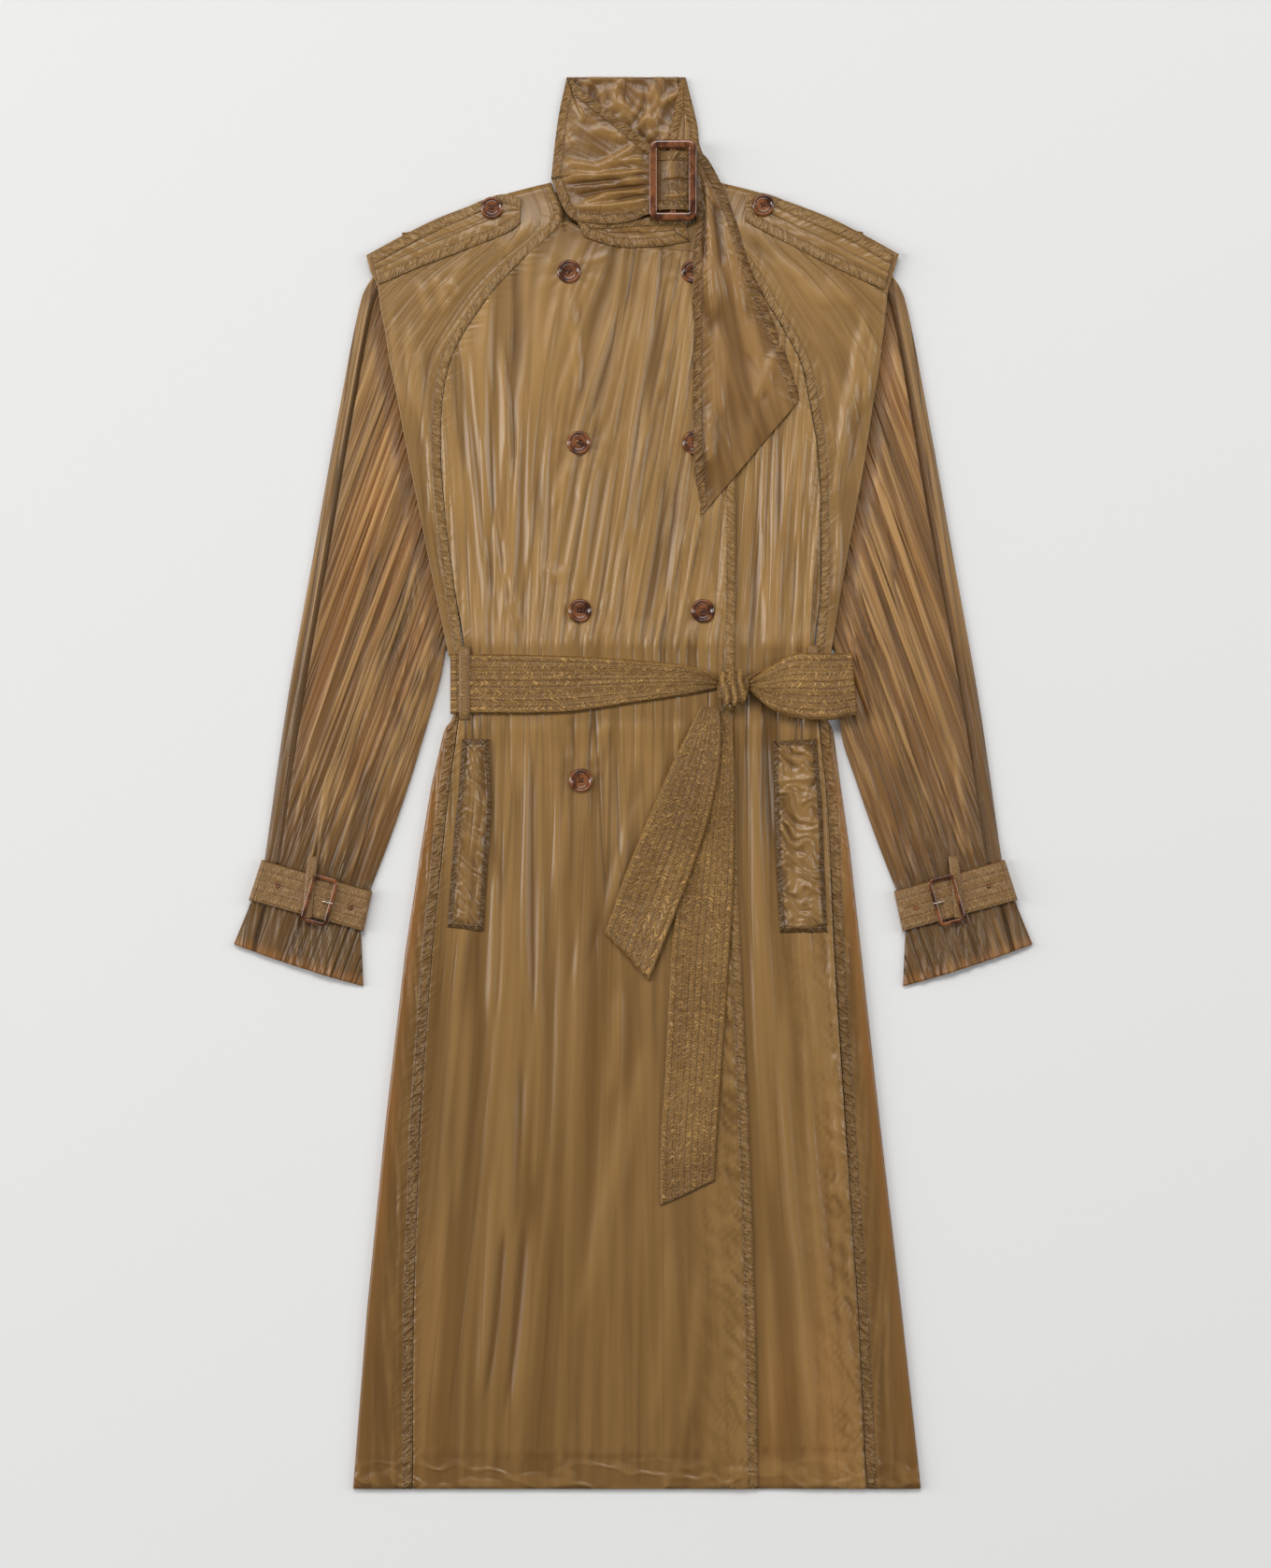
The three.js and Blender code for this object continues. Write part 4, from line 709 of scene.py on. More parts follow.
# The shoulder panels. Each is sewn to the front along the slanting raglan seam and its other edge
# is folded under, so that the sleeve comes out from below it.
WING_RIGHT = [
    (-75, 553, -246, 485), (-65, 519, -242, 470), (-100, 483, -236, 457), (-124, 458, -233, 436),
    (-144, 431, -229, 415), (-163, 400, -225, 389), (-172, 372, -218, 355), (-177, 316, -209, 307),
    (-173, 250, -197, 247), (-165, 185, -184, 182), (-154.6, 116, -170, 116),
]
WING_LEFT = [
    (79, 553, 245, 486), (68, 517, 240, 469), (103, 475, 235, 452), (127, 435, 233, 431),
    (142, 410, 230, 406), (154, 386, 227, 382), (163, 345, 221, 345), (170, 298, 214, 298),
    (172, 238, 203, 236), (172, 176, 192, 176), (165.8, 116, 182, 116),
]
WING_CREASES = {
    -1: [
        (-186, 468, -172, 430, 3, 5.0, 1.4), (-200, 464, -188, 425, 2, 4.0, 1.2),
        (-176, 462, -160, 446, 2, 4.0, 1.3),
        (-150, 482, -172, 452, -2, 4.5, 1.2), (-128, 500, -110, 486, 2, 3.5, 1.2),
        (-98, 530, -84, 545, 1, 3.5, 1.3),
        (-206, 430, -196, 330, -3, 5.0, 1.3), (-196, 410, -188, 300, -3, 4.0, 1.3),
        (-188, 330, -178, 220, -2, 3.4, 1.3),
        (-222, 440, -210, 340, -2, 4.0, 1.0), (-92, 520, -110, 500, 1, 4.0, 1.2),
    ],
    1: [
        (150, 470, 186, 440, -4, 6.0, 1.3), (176, 466, 206, 440, -3, 5.0, 1.2),
        (128, 486, 160, 464, -3, 5.0, 1.2),
        (214, 440, 196, 330, 3, 5.0, 1.5), (206, 420, 186, 300, 4, 4.0, 1.5),
        (196, 380, 182, 250, 3, 3.6, 1.5),
        (222, 420, 206, 330, 2, 4.0, 1.4), (214, 380, 196, 280, 2, 3.2, -1.2),
        (92, 520, 112, 496, 2, 4.0, 1.3),
        (98, 512, 122, 478, 2, 3.0, -1.0), (190, 250, 184, 160, 1, 3.2, 1.3),
    ],
}


def wing_place(table, side):
    seam, edge = columns_of(table, 0, 2)

    def place(u, v):
        f = evenly(edge, v)
        start = seam(f)
        end = edge(f) - np.array([side * 0.0006, 0.0])
        length = np.hypot(*(end - start).T)
        out_x, out_y = (end - start).T / length
        run_top = length - 0.0011 - 0.0004
        on_top = u < 0.84
        share = np.clip(u / 0.84, 0.0, 1.0)
        gone = np.where(on_top, 0.0006 + (run_top - 0.0006) * share, run_top)
        turn = np.clip((u - 0.84) / 0.08, 0.0, 1.0)
        angle = math.pi * (0.5 - turn)
        under = np.clip((u - 0.92) / 0.08, 0.0, 1.0)
        back_by = np.minimum(0.025, 0.65 * length) * under
        turned = np.where(on_top, 0.0, 0.0017 * np.cos(angle))
        x = start[:, 0] + out_x * (gone + turned - back_by)
        y = start[:, 1] + out_y * (gone + turned - back_by)
        bowed = np.clip((gone + turned - back_by) / length, 0.0, 1.0)
        y = y + np.interp(f * 10.0, [0.0, 1.0, 2.0], [0.0085, 0.0040, 0.0]) * np.sin(math.pi * bowed)
        seam_level = front_level(y)
        drop = (1.0 - smooth(f / 0.13)) * (1.0 - smooth((share - 0.45) / 0.2))
        top = mix(seam_level, np.maximum(seam_level, 0.0075), smooth(share * 1.3))
        top = mix(top, 0.0028, drop)
        wide = share * length
        long = v * 0.45
        folds = 1.5 * pleats(wide, long, 0.013, 0.10, 101 + side) + 0.8 * pleats(wide, long, 0.006, 0.05, 105 + side)
        narrow = smooth((length - 0.02) / 0.05)
        relief = (folds * mix(0.8, 1.0, narrow) - 0.5) * MM
        relief = relief * smooth(gone / 0.012) * smooth((run_top - gone) / 0.008)
        relief = relief + creases(x, y, WING_CREASES[side]) * on_top
        relief = relief * (1.0 - drop) * on_top * smooth(f / 0.08)
        z = np.where(on_top, top + relief, top - 0.0011 + 0.0017 * np.sin(angle))
        low_side = np.maximum(z, 0.0032)
        z = np.where(under > 0.0, mix(z, np.minimum(low_side, z + 0.0008), under), z)
        away, along = reach(x, y, seam)
        return x, y, z, {
            "across": wide + side, "down": long, "seam": np.where(on_top, away, 0.05), "run": along,
            "relief": np.clip(relief / 0.0020, -1, 1),
        }

    return place


# The shoulder panels' cloth lies smoother than the fronts'.
wing_nylon = nylon("shoulder nylon", (0.290, 0.156, 0.045), (0.105, 0.046, 0.008), (0.410, 0.236, 0.080),
                   ripple=0.45)
for wing_name, wing_rows, wing_side in (("wing_right", WING_RIGHT, -1), ("wing_left", WING_LEFT, 1)):
    wing = grid_piece(wing_name, 66, 140, wing_place(wing_rows, wing_side))
    wears(wing, wing_nylon)


# The sleeves. Each is a tube of the same nylon, full of narrow lengthwise pleats where the cuff's
# strap draws it in; below the strap it stands out as a short frill. One layer, so light comes
# through it, painted into its colour as an orange glow.
sleeve_nylon = nylon(
    "sleeve nylon", (0.290, 0.152, 0.042), (0.070, 0.029, 0.005), (0.490, 0.282, 0.100),
    band=3.0, pucker=0.12, ripple=1.5, shine=0.40, rate=1.5,
)
CUFF_OUTER_TOP = (342, -71)
CUFF_INNER_TOP = (240, -100)
CUFF_OUTER_LOW = (354, -108)
CUFF_INNER_LOW = (248, -137)
FRILL_END = [(368.4, -148.5), (331.4, -162), (299.6, -172.5), (275.6, -180), (248.6, -187.5)]


def sleeve_place(side, armhole, waist_x, wing_rows):
    def at(points):
        return curve([(side * px, py) for px, py in points])

    crown_points = [(side * 221, 482), *armhole[1:-1], (armhole[-1][0], 127)]
    crown = curve(crown_points)
    inset = 2.6
    outer = curve([crown_points[0]] + [(side * px, py) for px, py in (
        (236, 469), (247.5, 452), (252.5, 436), (272.5, 333), (295.5, 204), (318.5, 75),
        (CUFF_OUTER_TOP[0] - inset, CUFF_OUTER_TOP[1]))])
    inner = curve([crown_points[-1]] + [(waist_x + side * px, py) for px, py in ((1.2, 124), (4, 112), (8, 92))]
                  + [(side * px, py) for px, py in (
                      (190.5, 49), (206.5, -3), (224.5, -54), (CUFF_INNER_TOP[0] + inset, CUFF_INNER_TOP[1]))])
    cuff_lines = [
        at([(CUFF_OUTER_TOP[0] - inset, CUFF_OUTER_TOP[1]), (CUFF_INNER_TOP[0] + inset, CUFF_INNER_TOP[1])]),
        at([(CUFF_OUTER_LOW[0] - inset, CUFF_OUTER_LOW[1]), (CUFF_INNER_LOW[0] + inset, CUFF_INNER_LOW[1])]),
        at(FRILL_END),
    ]
    arm = panel(lambda t: outer(evenly(outer, t)), lambda t: inner(evenly(inner, t)), crown)

    def plan(w, t):
        x, y = arm(w, np.minimum(t, 1.0))
        strap = mix(cuff_lines[0](w), cuff_lines[1](w), np.clip(t - 1.0, 0.0, 1.0)[:, None])
        frill = mix(cuff_lines[1](w), cuff_lines[2](w), np.clip(t - 2.0, 0.0, 1.0)[:, None])
        lower = np.where((t > 2.0)[:, None], frill, strap)
        return np.where(t > 1.0, lower[:, 0], x), np.where(t > 1.0, lower[:, 1], y)

    def place(u, v):
        t = np.where(v < 0.8, v / 0.8, np.where(v < 0.86, 1.0 + (v - 0.8) / 0.06, 2.0 + (v - 0.86) / 0.14))
        on_top = u < 0.86
        inner_turn = (u >= 0.86) & (u < 0.90)
        bottom = (u >= 0.90) & (u < 0.96)
        below = np.where(bottom, (0.96 - u) / 0.06, 0.0)
        share = np.where(on_top, u / 0.86, np.where(inner_turn, 1.0, below))
        first_x, first_y = plan(np.zeros_like(u), t)
        last_x, last_y = plan(np.ones_like(u), t)
        width = np.hypot(last_x - first_x, last_y - first_y)
        tuck = 0.0017 / width
        x, y = plan(mix(tuck, 1.0 - tuck, share), t)
        drawn = smooth((t - 0.96) / 0.04) * smooth((2.3 - t) / 0.3)
        frill = smooth(t - 2.0)
        low = drawn * 0.0020
        edge_x = reading([row[3:1:-1] for row in wing_rows], 0, 1, y)
        clear = np.where(y < 0.118, 1.0, smooth((side * (x - edge_x) - 0.003) / 0.014))
        free = np.where(t > 1.0, 1.0, smooth(t / 0.12)) * clear
        inside = smooth((share - 0.10) / 0.03)
        lane = side * x + mix(0.18, 0.36, inside) * y + inside
        length = np.minimum(t, 1.0) * 0.60
        big = 2.8 * pleats(lane, length, 0.0120, 0.80, 113 + side, 0.06)
        small = 3.2 * pleats(lane, length, 0.0064, 0.60, 119 + side, 0.05)
        fan = share * 0.105
        gather = 4.4 * pleats(fan, length, 0.0085, 0.16, 127 + side, 0.05) * smooth((t - 0.70) / 0.28)
        upper = (big + small) * (1.0 - 0.6 * smooth((t - 0.8) / 0.2))
        upper = upper * smooth(np.abs(share - 0.115) / 0.03) + gather
        ruffle = 6.0 * pleats(fan, t * 0.02, 0.0125, 0.09, 131 + side, 0.07)
        ruffle = ruffle + pleats(fan, t * 0.03, 0.0045, 0.06, 137)
        relief = np.where(t > 2.0, mix(gather, ruffle, frill), upper) * (1.0 - 0.75 * drawn)
        edges = np.sin(math.pi * share) ** 0.5
        loft = 1.4 * np.sin(math.pi * share) ** 0.6 * (1.0 - 0.8 * drawn)
        relief = relief * free * mix(edges, 1.0, 0.25 * frill) * on_top
        top = low + 0.0032 + (loft * free + relief) * MM
        middle = (top + low) / 2.0
        half = (top - low) / 2.0
        angle = math.pi * np.where(inner_turn, 0.5 - (u - 0.86) / 0.04, -0.5 + (u - 0.96) / 0.04)
        turning = inner_turn | (u >= 0.96)
        aside_x = (last_x - first_x) / width
        aside_y = (last_y - first_y) / width
        way = np.where(inner_turn, 1.0, -1.0)
        out = np.where(turning, half * np.cos(angle) * way, 0.0)
        x = x + aside_x * out
        y = y + aside_y * out
        z = np.where(on_top, top, np.where(turning, middle + half * np.sin(angle), low))
        # Painted glow: orange light through the sleeve's one layer, less towards the cuff, more at the frill's tip.
        glow_noise = np.clip(0.34 + 0.5 * noise(lane * 45.0, length * 2.6, 139 + side), 0.0, 1.0)
        glow = glow_noise * plateau(share, 0.22, 0.86, 0.22) * mix(0.85, 0.75, smooth(t)) * (1.0 - drawn)
        glow = glow * plateau(t, 0.06, 1.1, 0.1) * (1.0 - 0.6 * smooth((t - 0.70) / 0.25))
        tip = smooth((t - 2.72) / 0.25) * 0.75
        outer_seam = np.abs(share - 0.10) * width
        # Painted shade: the sleeve is coloured from its fold heights, darker in the middle and towards the cuff.
        shown = (relief - 1.7 * edges - 1.4 * smooth((t - 0.55) / 0.35)) / 1.5
        return x, y, z, {
            "across": lane, "down": length + t * 0.02, "seam": outer_seam + 0.02 * (t > 1.0), "run": length,
            "relief": np.clip(shown, -1, 1), "glow": np.clip(np.maximum(glow, tip), 0, 1),
        }

    return place


for sleeve_name, sleeve_side, hole, waist, rows_of_wing in (
    ("sleeve_right", -1, ARMHOLE_RIGHT, -170, WING_RIGHT),
    ("sleeve_left", 1, ARMHOLE_LEFT, 182.5, WING_LEFT),
):
    sleeve_form = sleeve_place(sleeve_side, hole, waist, rows_of_wing)
    sleeve = grid_piece(sleeve_name, 116, 188, sleeve_form, closed=True)
    wears(sleeve, sleeve_nylon)


# The cuff straps: a doubled band of the nylon with rows of stitching round the sleeve, with eyelets
# for the buckle's prong. The loop above holds the strap, and the buckle lies over both.
def quilted(name, plain, deep, bright, size=0.55, lanes=6.0):
    """Doubled nylon sewn with many close rows, which draw the cloth between them into ripples."""
    made, shader, start = material(name)
    across = attribute(start, "across")
    down = attribute(start, "down")
    seam = attribute(start, "seam")
    relief = attribute(start, "relief")
    cloudy = grain(start, across * 30.0, down * 14.0, 1.0, 3.0)
    slanted = down * 470.0 + start.maths("SINE", across * (2.0 * math.pi / (lanes * 1.6 * MM))) * 0.7
    ripple = 1.0 - crests(start, slanted, across * 130.0, 0.22)
    fine = grain(start, down * 620.0, across * 300.0, 1.0, 2.0, 5.0)
    row = start.maths("ABSOLUTE", start.maths("SINE", across * (math.pi / (lanes * MM))))
    inner = ramp(start, seam, 0.5 * MM, 2.0 * MM)
    height = (ripple * size * 2.1 + fine * size * 0.4 + ramp(start, row, 0.0, 0.45) * 0.30) * inner * MM
    # Painted light and shade: raised ripples lighter, hollows and stitch rows darker; deep is shaded, bright lit.
    share = ripple * 0.55 + fine * 0.3 + relief * 0.22 + (cloudy - 0.5) * 0.2 + ramp(start, row, 0.0, 0.4) * 0.3
    colour = tint(start, ramp(start, share, 0.15, 1.10), deep, bright)
    colour = tint(start, 0.15, colour, plain)
    bumped = start.node("ShaderNodeBump", {}, {"Height": height, "Distance": 1.0, "Strength": 1.0})
    link(start, shader, "Base Color", colour)
    link(start, shader, "Roughness", ramp(start, cloudy, 0.2, 0.8) * 0.1 + 0.40)
    link(start, shader, "Normal", bumped)
    return made


strap_nylon = quilted("strap nylon", (0.270, 0.145, 0.045), (0.150, 0.072, 0.018), (0.350, 0.196, 0.070),
                      size=0.30, lanes=9.0)
horn, horn_shader, horn_start = material("horn")
horn_place = horn_start.node("ShaderNodeTexCoord", {}, {}, output=3)
horn_cloud = horn_start.node("ShaderNodeTexNoise", {}, {
    "Vector": horn_place, "Scale": 60.0, "Detail": 2.0, "Distortion": 0.8})
horn_share = ramp(horn_start, horn_cloud, 0.35, 0.62)
horn_colour = tint(horn_start, horn_share, (0.050, 0.012, 0.003), (0.230, 0.075, 0.022))
# Painted shade: a button's groove and holes are coloured near black.
horn_hollow_shade = attribute(horn_start, "relief")
link(horn_start, horn_shader, "Base Color", tint(horn_start, horn_hollow_shade, horn_colour, (0.016, 0.005, 0.003)))
link(horn_start, horn_shader, "Roughness", ramp(horn_start, horn_cloud, 0.3, 0.7) * 0.08 + 0.14)
horn_shader.inputs["Coat Weight"].default_value = 0.4
horn_shader.inputs["Coat Roughness"].default_value = 0.06
prong_metal, prong_shader, prong_start = material("prong metal")
prong_place = prong_start.node("ShaderNodeTexCoord", {}, {}, output=3)
prong_cloud = prong_start.node("ShaderNodeTexNoise", {}, {
    "Vector": prong_place, "Scale": 400.0, "Detail": 2.0})
link(prong_start, prong_shader, "Base Color",
     tint(prong_start, prong_cloud, (0.42, 0.33, 0.27), (0.62, 0.52, 0.44)))
link(prong_start, prong_shader, "Roughness", prong_cloud * 0.1 + 0.22)
prong_shader.inputs["Metallic"].default_value = 1.0


def strap_place(side):
    def end(points):
        return np.array([(side * px, py) for px, py in points]) * MM

    outer = end([CUFF_OUTER_TOP, CUFF_OUTER_LOW])
    inner = end([CUFF_INNER_TOP, CUFF_INNER_LOW])

    def place(u, v):
        first = mix(outer[0], outer[1], v[:, None])
        last = mix(inner[0], inner[1], v[:, None])
        width = np.hypot(*(last - first).T)[:, None]
        way = (last - first) / width
        half = 0.00455
        on_top = u < 0.72
        turning = ((u >= 0.72) & (u < 0.80)) | (u >= 0.92)
        near_end = (u >= 0.72) & (u < 0.80)
        share = np.where(on_top, u / 0.72, np.where(near_end, 1.0, np.where(turning, 0.0, (0.92 - u) / 0.12)))
        angle = np.where(near_end, math.pi * (0.5 - (u - 0.72) / 0.08), math.pi * (-0.5 + (u - 0.92) / 0.08))
        out = np.where(turning, half * np.cos(angle) * np.where(near_end, 1.0, -1.0), 0.0)
        gone = half + (width[:, 0] - 2.0 * half) * share + out
        place_xy = first + way * gone[:, None]
        x, y = place_xy.T
        relief = 0.35 * noise(gone / 0.007, v * 0.038 / 0.012, 151 + side)
        relief = relief + 0.2 * noise(gone / 0.0035, v * 3.0, 157)
        pull = np.zeros_like(x)
        for ex, ey in ((327, -95), (260, -115)):
            far = np.hypot(x - side * ex * MM, y - ey * MM)
            rays = noise(np.arctan2(y - ey * MM, x - side * ex * MM) * 2.6, far * 30.0, 163)
            sunk = 0.9 * np.exp(-far / 0.003)
            pull += (0.7 * rays * smooth((far - 0.002) / 0.002) - sunk) * np.exp(-far / 0.009)
        edge = np.exp(-np.minimum(v, 1.0 - v) * 0.038 / 0.0010)
        relief = (relief + pull) * on_top
        z = np.where(on_top, 2 * half + (relief - 0.5 * edge) * MM,
                     np.where(turning, half + half * np.sin(angle), 0.0))
        return x, y, z, {
            "across": v * 0.038, "down": gone, "seam": np.minimum(v, 1.0 - v) * 0.038 + 0.001, "run": gone,
            "relief": np.clip(relief, -1, 1),
        }

    return place


def hardware(name, columns, rows, place):
    """A hard piece made like the cloth, but solid: its grid closes on itself."""
    piece = grid_piece(name, columns, rows, place, 0, True)
    wears(piece, horn)
    return piece


def framed(cx, cy, bottom, width, height, bar, corner, depth, tilt):
    """A rectangular frame with round corners and a rounded bar, turned by tilt."""

    def place(u, v):
        mid_w = (width - bar) / 2.0
        mid_h = (height - bar) / 2.0
        turn = corner - bar * 0.35
        straight_w = 2.0 * (mid_w - turn)
        straight_h = 2.0 * (mid_h - turn)
        arc = math.pi * turn / 2.0
        whole = 2.0 * (straight_w + straight_h) + 4.0 * arc
        s = (u % 1.0) * whole
        px = np.zeros_like(s)
        py = np.zeros_like(s)
        nx = np.zeros_like(s)
        ny = np.zeros_like(s)
        gone = 0.0
        for quarter in range(4):
            straight = straight_h if quarter % 2 == 0 else straight_w
            base = quarter * math.pi / 2.0
            out = np.array([math.cos(base), math.sin(base)])
            way = np.array([-out[1], out[0]])
            reach_out = mid_w if quarter % 2 == 0 else mid_h
            here = (s >= gone) & (s <= gone + straight)
            t = s - gone - straight / 2.0
            px = np.where(here, out[0] * reach_out + way[0] * t, px)
            py = np.where(here, out[1] * reach_out + way[1] * t, py)
            nx = np.where(here, out[0], nx)
            ny = np.where(here, out[1], ny)
            gone += straight
            here = (s > gone) & (s <= gone + arc)
            a = base + (s - gone) / turn
            centre = out * (reach_out - turn) + way * straight / 2.0
            px = np.where(here, centre[0] + turn * np.cos(a), px)
            py = np.where(here, centre[1] + turn * np.sin(a), py)
            nx = np.where(here, np.cos(a), nx)
            ny = np.where(here, np.sin(a), ny)
            gone += arc
        angle = 2.0 * math.pi * v
        power = 0.55
        across = np.sign(np.cos(angle)) * np.abs(np.cos(angle)) ** power * bar / 2.0
        up = np.sign(np.sin(angle)) * np.abs(np.sin(angle)) ** power * depth / 2.0
        fx = px + nx * across
        fy = py + ny * across
        x = (cx + fx * math.cos(tilt) - fy * math.sin(tilt)) * MM
        y = (cy + fx * math.sin(tilt) + fy * math.cos(tilt)) * MM
        return x, y, (bottom + depth / 2.0 + up) * MM, {}

    return place


for cuff_name, cuff_side in (("right", -1), ("left", 1)):
    strap = grid_piece("cuff_strap_" + cuff_name, 110, 26, strap_place(cuff_side), wall=1.2, closed=True)
    wears(strap, strap_nylon)
    hardware("cuff_buckle_" + cuff_name, 144, 14, framed(
        cuff_side * 288, -108, 10.9, 25, 45, 3.4, 5, 2.6, cuff_side * 0.277))
    prong_side = cuff_side

    def prong_place(u, v, side=prong_side):
        angle = 2.0 * math.pi * u
        along = np.clip((v - 0.06) / 0.88, 0.0, 1.0)
        thin = np.where((v < 0.02) | (v > 0.98), 0.01, 1.0)
        gone = -0.6 + 10.0 * along
        far = 12.0 - gone
        px = far * math.cos(0.277) + 0.85 * np.cos(angle) * thin * -math.sin(0.277)
        py = far * math.sin(0.277) + 0.85 * np.cos(angle) * thin * math.cos(0.277)
        x = side * (288.0 - px) * MM
        y = (-108.0 - py) * MM
        z = (13.7 + 0.75 * np.sin(angle) * thin - 1.4 * np.clip((gone - 6.0) / 3.4, 0, 1) ** 2) * MM
        return x, y, z, {}

    prong = grid_piece("cuff_prong_" + cuff_name, 16, 26, prong_place, 0, True)
    wears(prong, prong_metal)
    for eyelet, (eye_x, eye_y) in enumerate(((327, -95), (260, -115))):
        ring = grid_piece(f"cuff_eyelet_{eyelet}_{cuff_name}", 28, 10, framed(
            cuff_side * eye_x, eye_y, 8.4, 5.0, 5.0, 1.3, 2.6, 1.0, 0.0), 0, True, "cuff_strap_" + cuff_name)
        wears(ring, horn)


# Stitched over the strap beside the buckle is a narrow loop of the body cloth. It and the other small
# trims below follow the heights of the solids that they stand for.
def top_of(name, passes=3):
    """The height of a solid's upper face as a smooth function of place."""
    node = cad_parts[name]
    low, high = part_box(name)
    step = 0.0025
    xs = np.arange(low[0] - 2 * step, high[0] + 3 * step, step)
    ys = np.arange(low[1] - 2 * step, high[1] + 3 * step, step)
    heights = np.full((len(ys), len(xs)), np.nan)
    for j, py in enumerate(ys):
        for i, px in enumerate(xs):
            hit, place, _, _ = node.ray_cast((px, py, 1.0), (0.0, 0.0, -1.0))
            if hit:
                heights[j, i] = place[2]
    while np.isnan(heights).any():
        padded = np.pad(heights, 1, constant_values=np.nan)
        around = np.stack([padded[1:-1, :-2], padded[1:-1, 2:], padded[:-2, 1:-1], padded[2:, 1:-1]])
        known = ~np.isnan(around)
        mean = np.where(known, around, 0.0).sum(0) / np.maximum(known.sum(0), 1)
        heights = np.where(np.isnan(heights) & known.any(0), mean, heights)
    for _ in range(passes):
        padded = np.pad(heights, 1, mode="edge")
        tall, wide = heights.shape
        around = [padded[j:j + tall, i:i + wide] for j in range(3) for i in range(3)]
        heights = sum(around) / 9.0

    def at(x, y):
        gx = np.clip((x - xs[0]) / step, 0, len(xs) - 1.001)
        gy = np.clip((y - ys[0]) / step, 0, len(ys) - 1.001)
        i = gx.astype(int)
        j = gy.astype(int)
        near = mix(heights[j, i], heights[j, i + 1], gx - i)
        far = mix(heights[j + 1, i], heights[j + 1, i + 1], gx - i)
        return mix(near, far, gy - j)

    return at


def trim(name, plan_lines, columns, rows, texture, cloth, wall=1.0,
         edge_drop=0.5, passes=3, middle=0.0):
    """A flat trim on the heights of its solid. plan_lines are its left, right, top and bottom edges."""
    left, right, top, bottom = plan_lines
    plan = panel(left, right, top, bottom)
    level = top_of(name, passes)
    outline = [left, right] + [edge for edge in (top, bottom) if edge is not None]
    rough_width = float(np.hypot(*(right(np.array([0.5])) - left(np.array([0.5])))[0]))
    rough_length = float(np.hypot(*(left(np.array([1.0])) - left(np.array([0.0])))[0]))

    def place(u, v):
        x, y = plan(u, evenly(left, v))
        away, run = nearest(x, y, *outline)
        wide = u * rough_width
        long = v * rough_length
        relief, glow = texture(x, y, wide, long, away)
        z = level(x, y) + relief - edge_drop * MM * np.exp(-away / 0.0011)
        # The relief value paints light and shade: higher than middle lighter, lower darker.
        return x, y, z, {
            "across": wide, "down": long, "seam": away, "run": run,
            "relief": np.clip((relief - middle * MM) / 0.0014, -1, 1), "glow": glow,
        }

    piece = grid_piece(name, columns, rows, place, wall)
    wears(piece, cloth)
    return piece


def plain_texture(x, y, wide, long, away):
    return 0.00015 * noise(x / 0.006, y / 0.009, 171), 0.0


for loop_name, loop_side in (("right", -1), ("left", 1)):
    loop_left = curve([(loop_side * 294.5 - 4.75, -68), (loop_side * 300 - 4.75, -124.5)])
    loop_right = curve([(loop_side * 294.5 + 4.75, -68), (loop_side * 300 + 4.75, -124.5)])
    trim("cuff_loop_" + loop_name, (loop_left, loop_right, None, None), 10, 60, plain_texture, strap_nylon,
         0.6, passes=1)

# The epaulettes lie along the shoulder line, held by a button near the collar. Doubled nylon, turned
# and stitched round, with short creases that run out from the button.
edge_nylon = nylon("edge stitched nylon", (0.285, 0.153, 0.044), (0.115, 0.050, 0.009), (0.410, 0.236, 0.080),
                   band=9.0, pucker=1.0, ripple=0.6)
EPAULETTE_RIGHT = [
    (-103, 538, -104, 515), (-121, 541.5, -112, 508), (-163, 525, -152, 491),
    (-200, 508, -194, 475), (-240, 486, -234, 458),
]
EPAULETTE_LEFT = [
    (103, 541, 104, 517), (118, 543, 112, 512), (163, 525, 152, 491), (203, 507, 194, 470),
    (239, 486, 231, 453),
]


def epaulette_texture(x, y, wide, long, away):
    pull = np.zeros_like(x)
    for bx, by in ((-130, 528.5), (119.5, 531)):
        far = np.hypot(x - bx * MM, y - by * MM)
        pull += noise(np.arctan2(y - by * MM, x - bx * MM) * 3.0, far * 25.0, 181) * np.exp(-far / 0.020)
    folds = pleats(y + 0.3 * x, x, 0.010, 0.05, 183)
    return (0.9 * pull + 0.8 * folds * smooth(away / 0.010)) * MM, 0.0


for ep_name, ep_rows, ep_side in (("right", EPAULETTE_RIGHT, -1), ("left", EPAULETTE_LEFT, 1)):
    ep_back, ep_front = columns_of(ep_rows, 0, 2)
    ep_lines = (ep_front, ep_back) if ep_side < 0 else (ep_back, ep_front)
    trim("epaulette_" + ep_name, (*ep_lines, None, None), 26, 110, epaulette_texture, edge_nylon,
         1.0)

# The buttons: horn discs with a raised, rounded rim, a sunk middle with four holes and a crossed thread.
thread, thread_shader, thread_start = material("thread")
thread_cloud = thread_start.node("ShaderNodeTexNoise", {}, {
    "Vector": thread_start.node("ShaderNodeTexCoord", {}, {}, output=3), "Scale": 900.0})
link(thread_start, thread_shader, "Base Color",
     tint(thread_start, thread_cloud, (0.06, 0.018, 0.008), (0.13, 0.05, 0.022)))
link(thread_start, thread_shader, "Roughness", thread_cloud * 0.2 + 0.6)


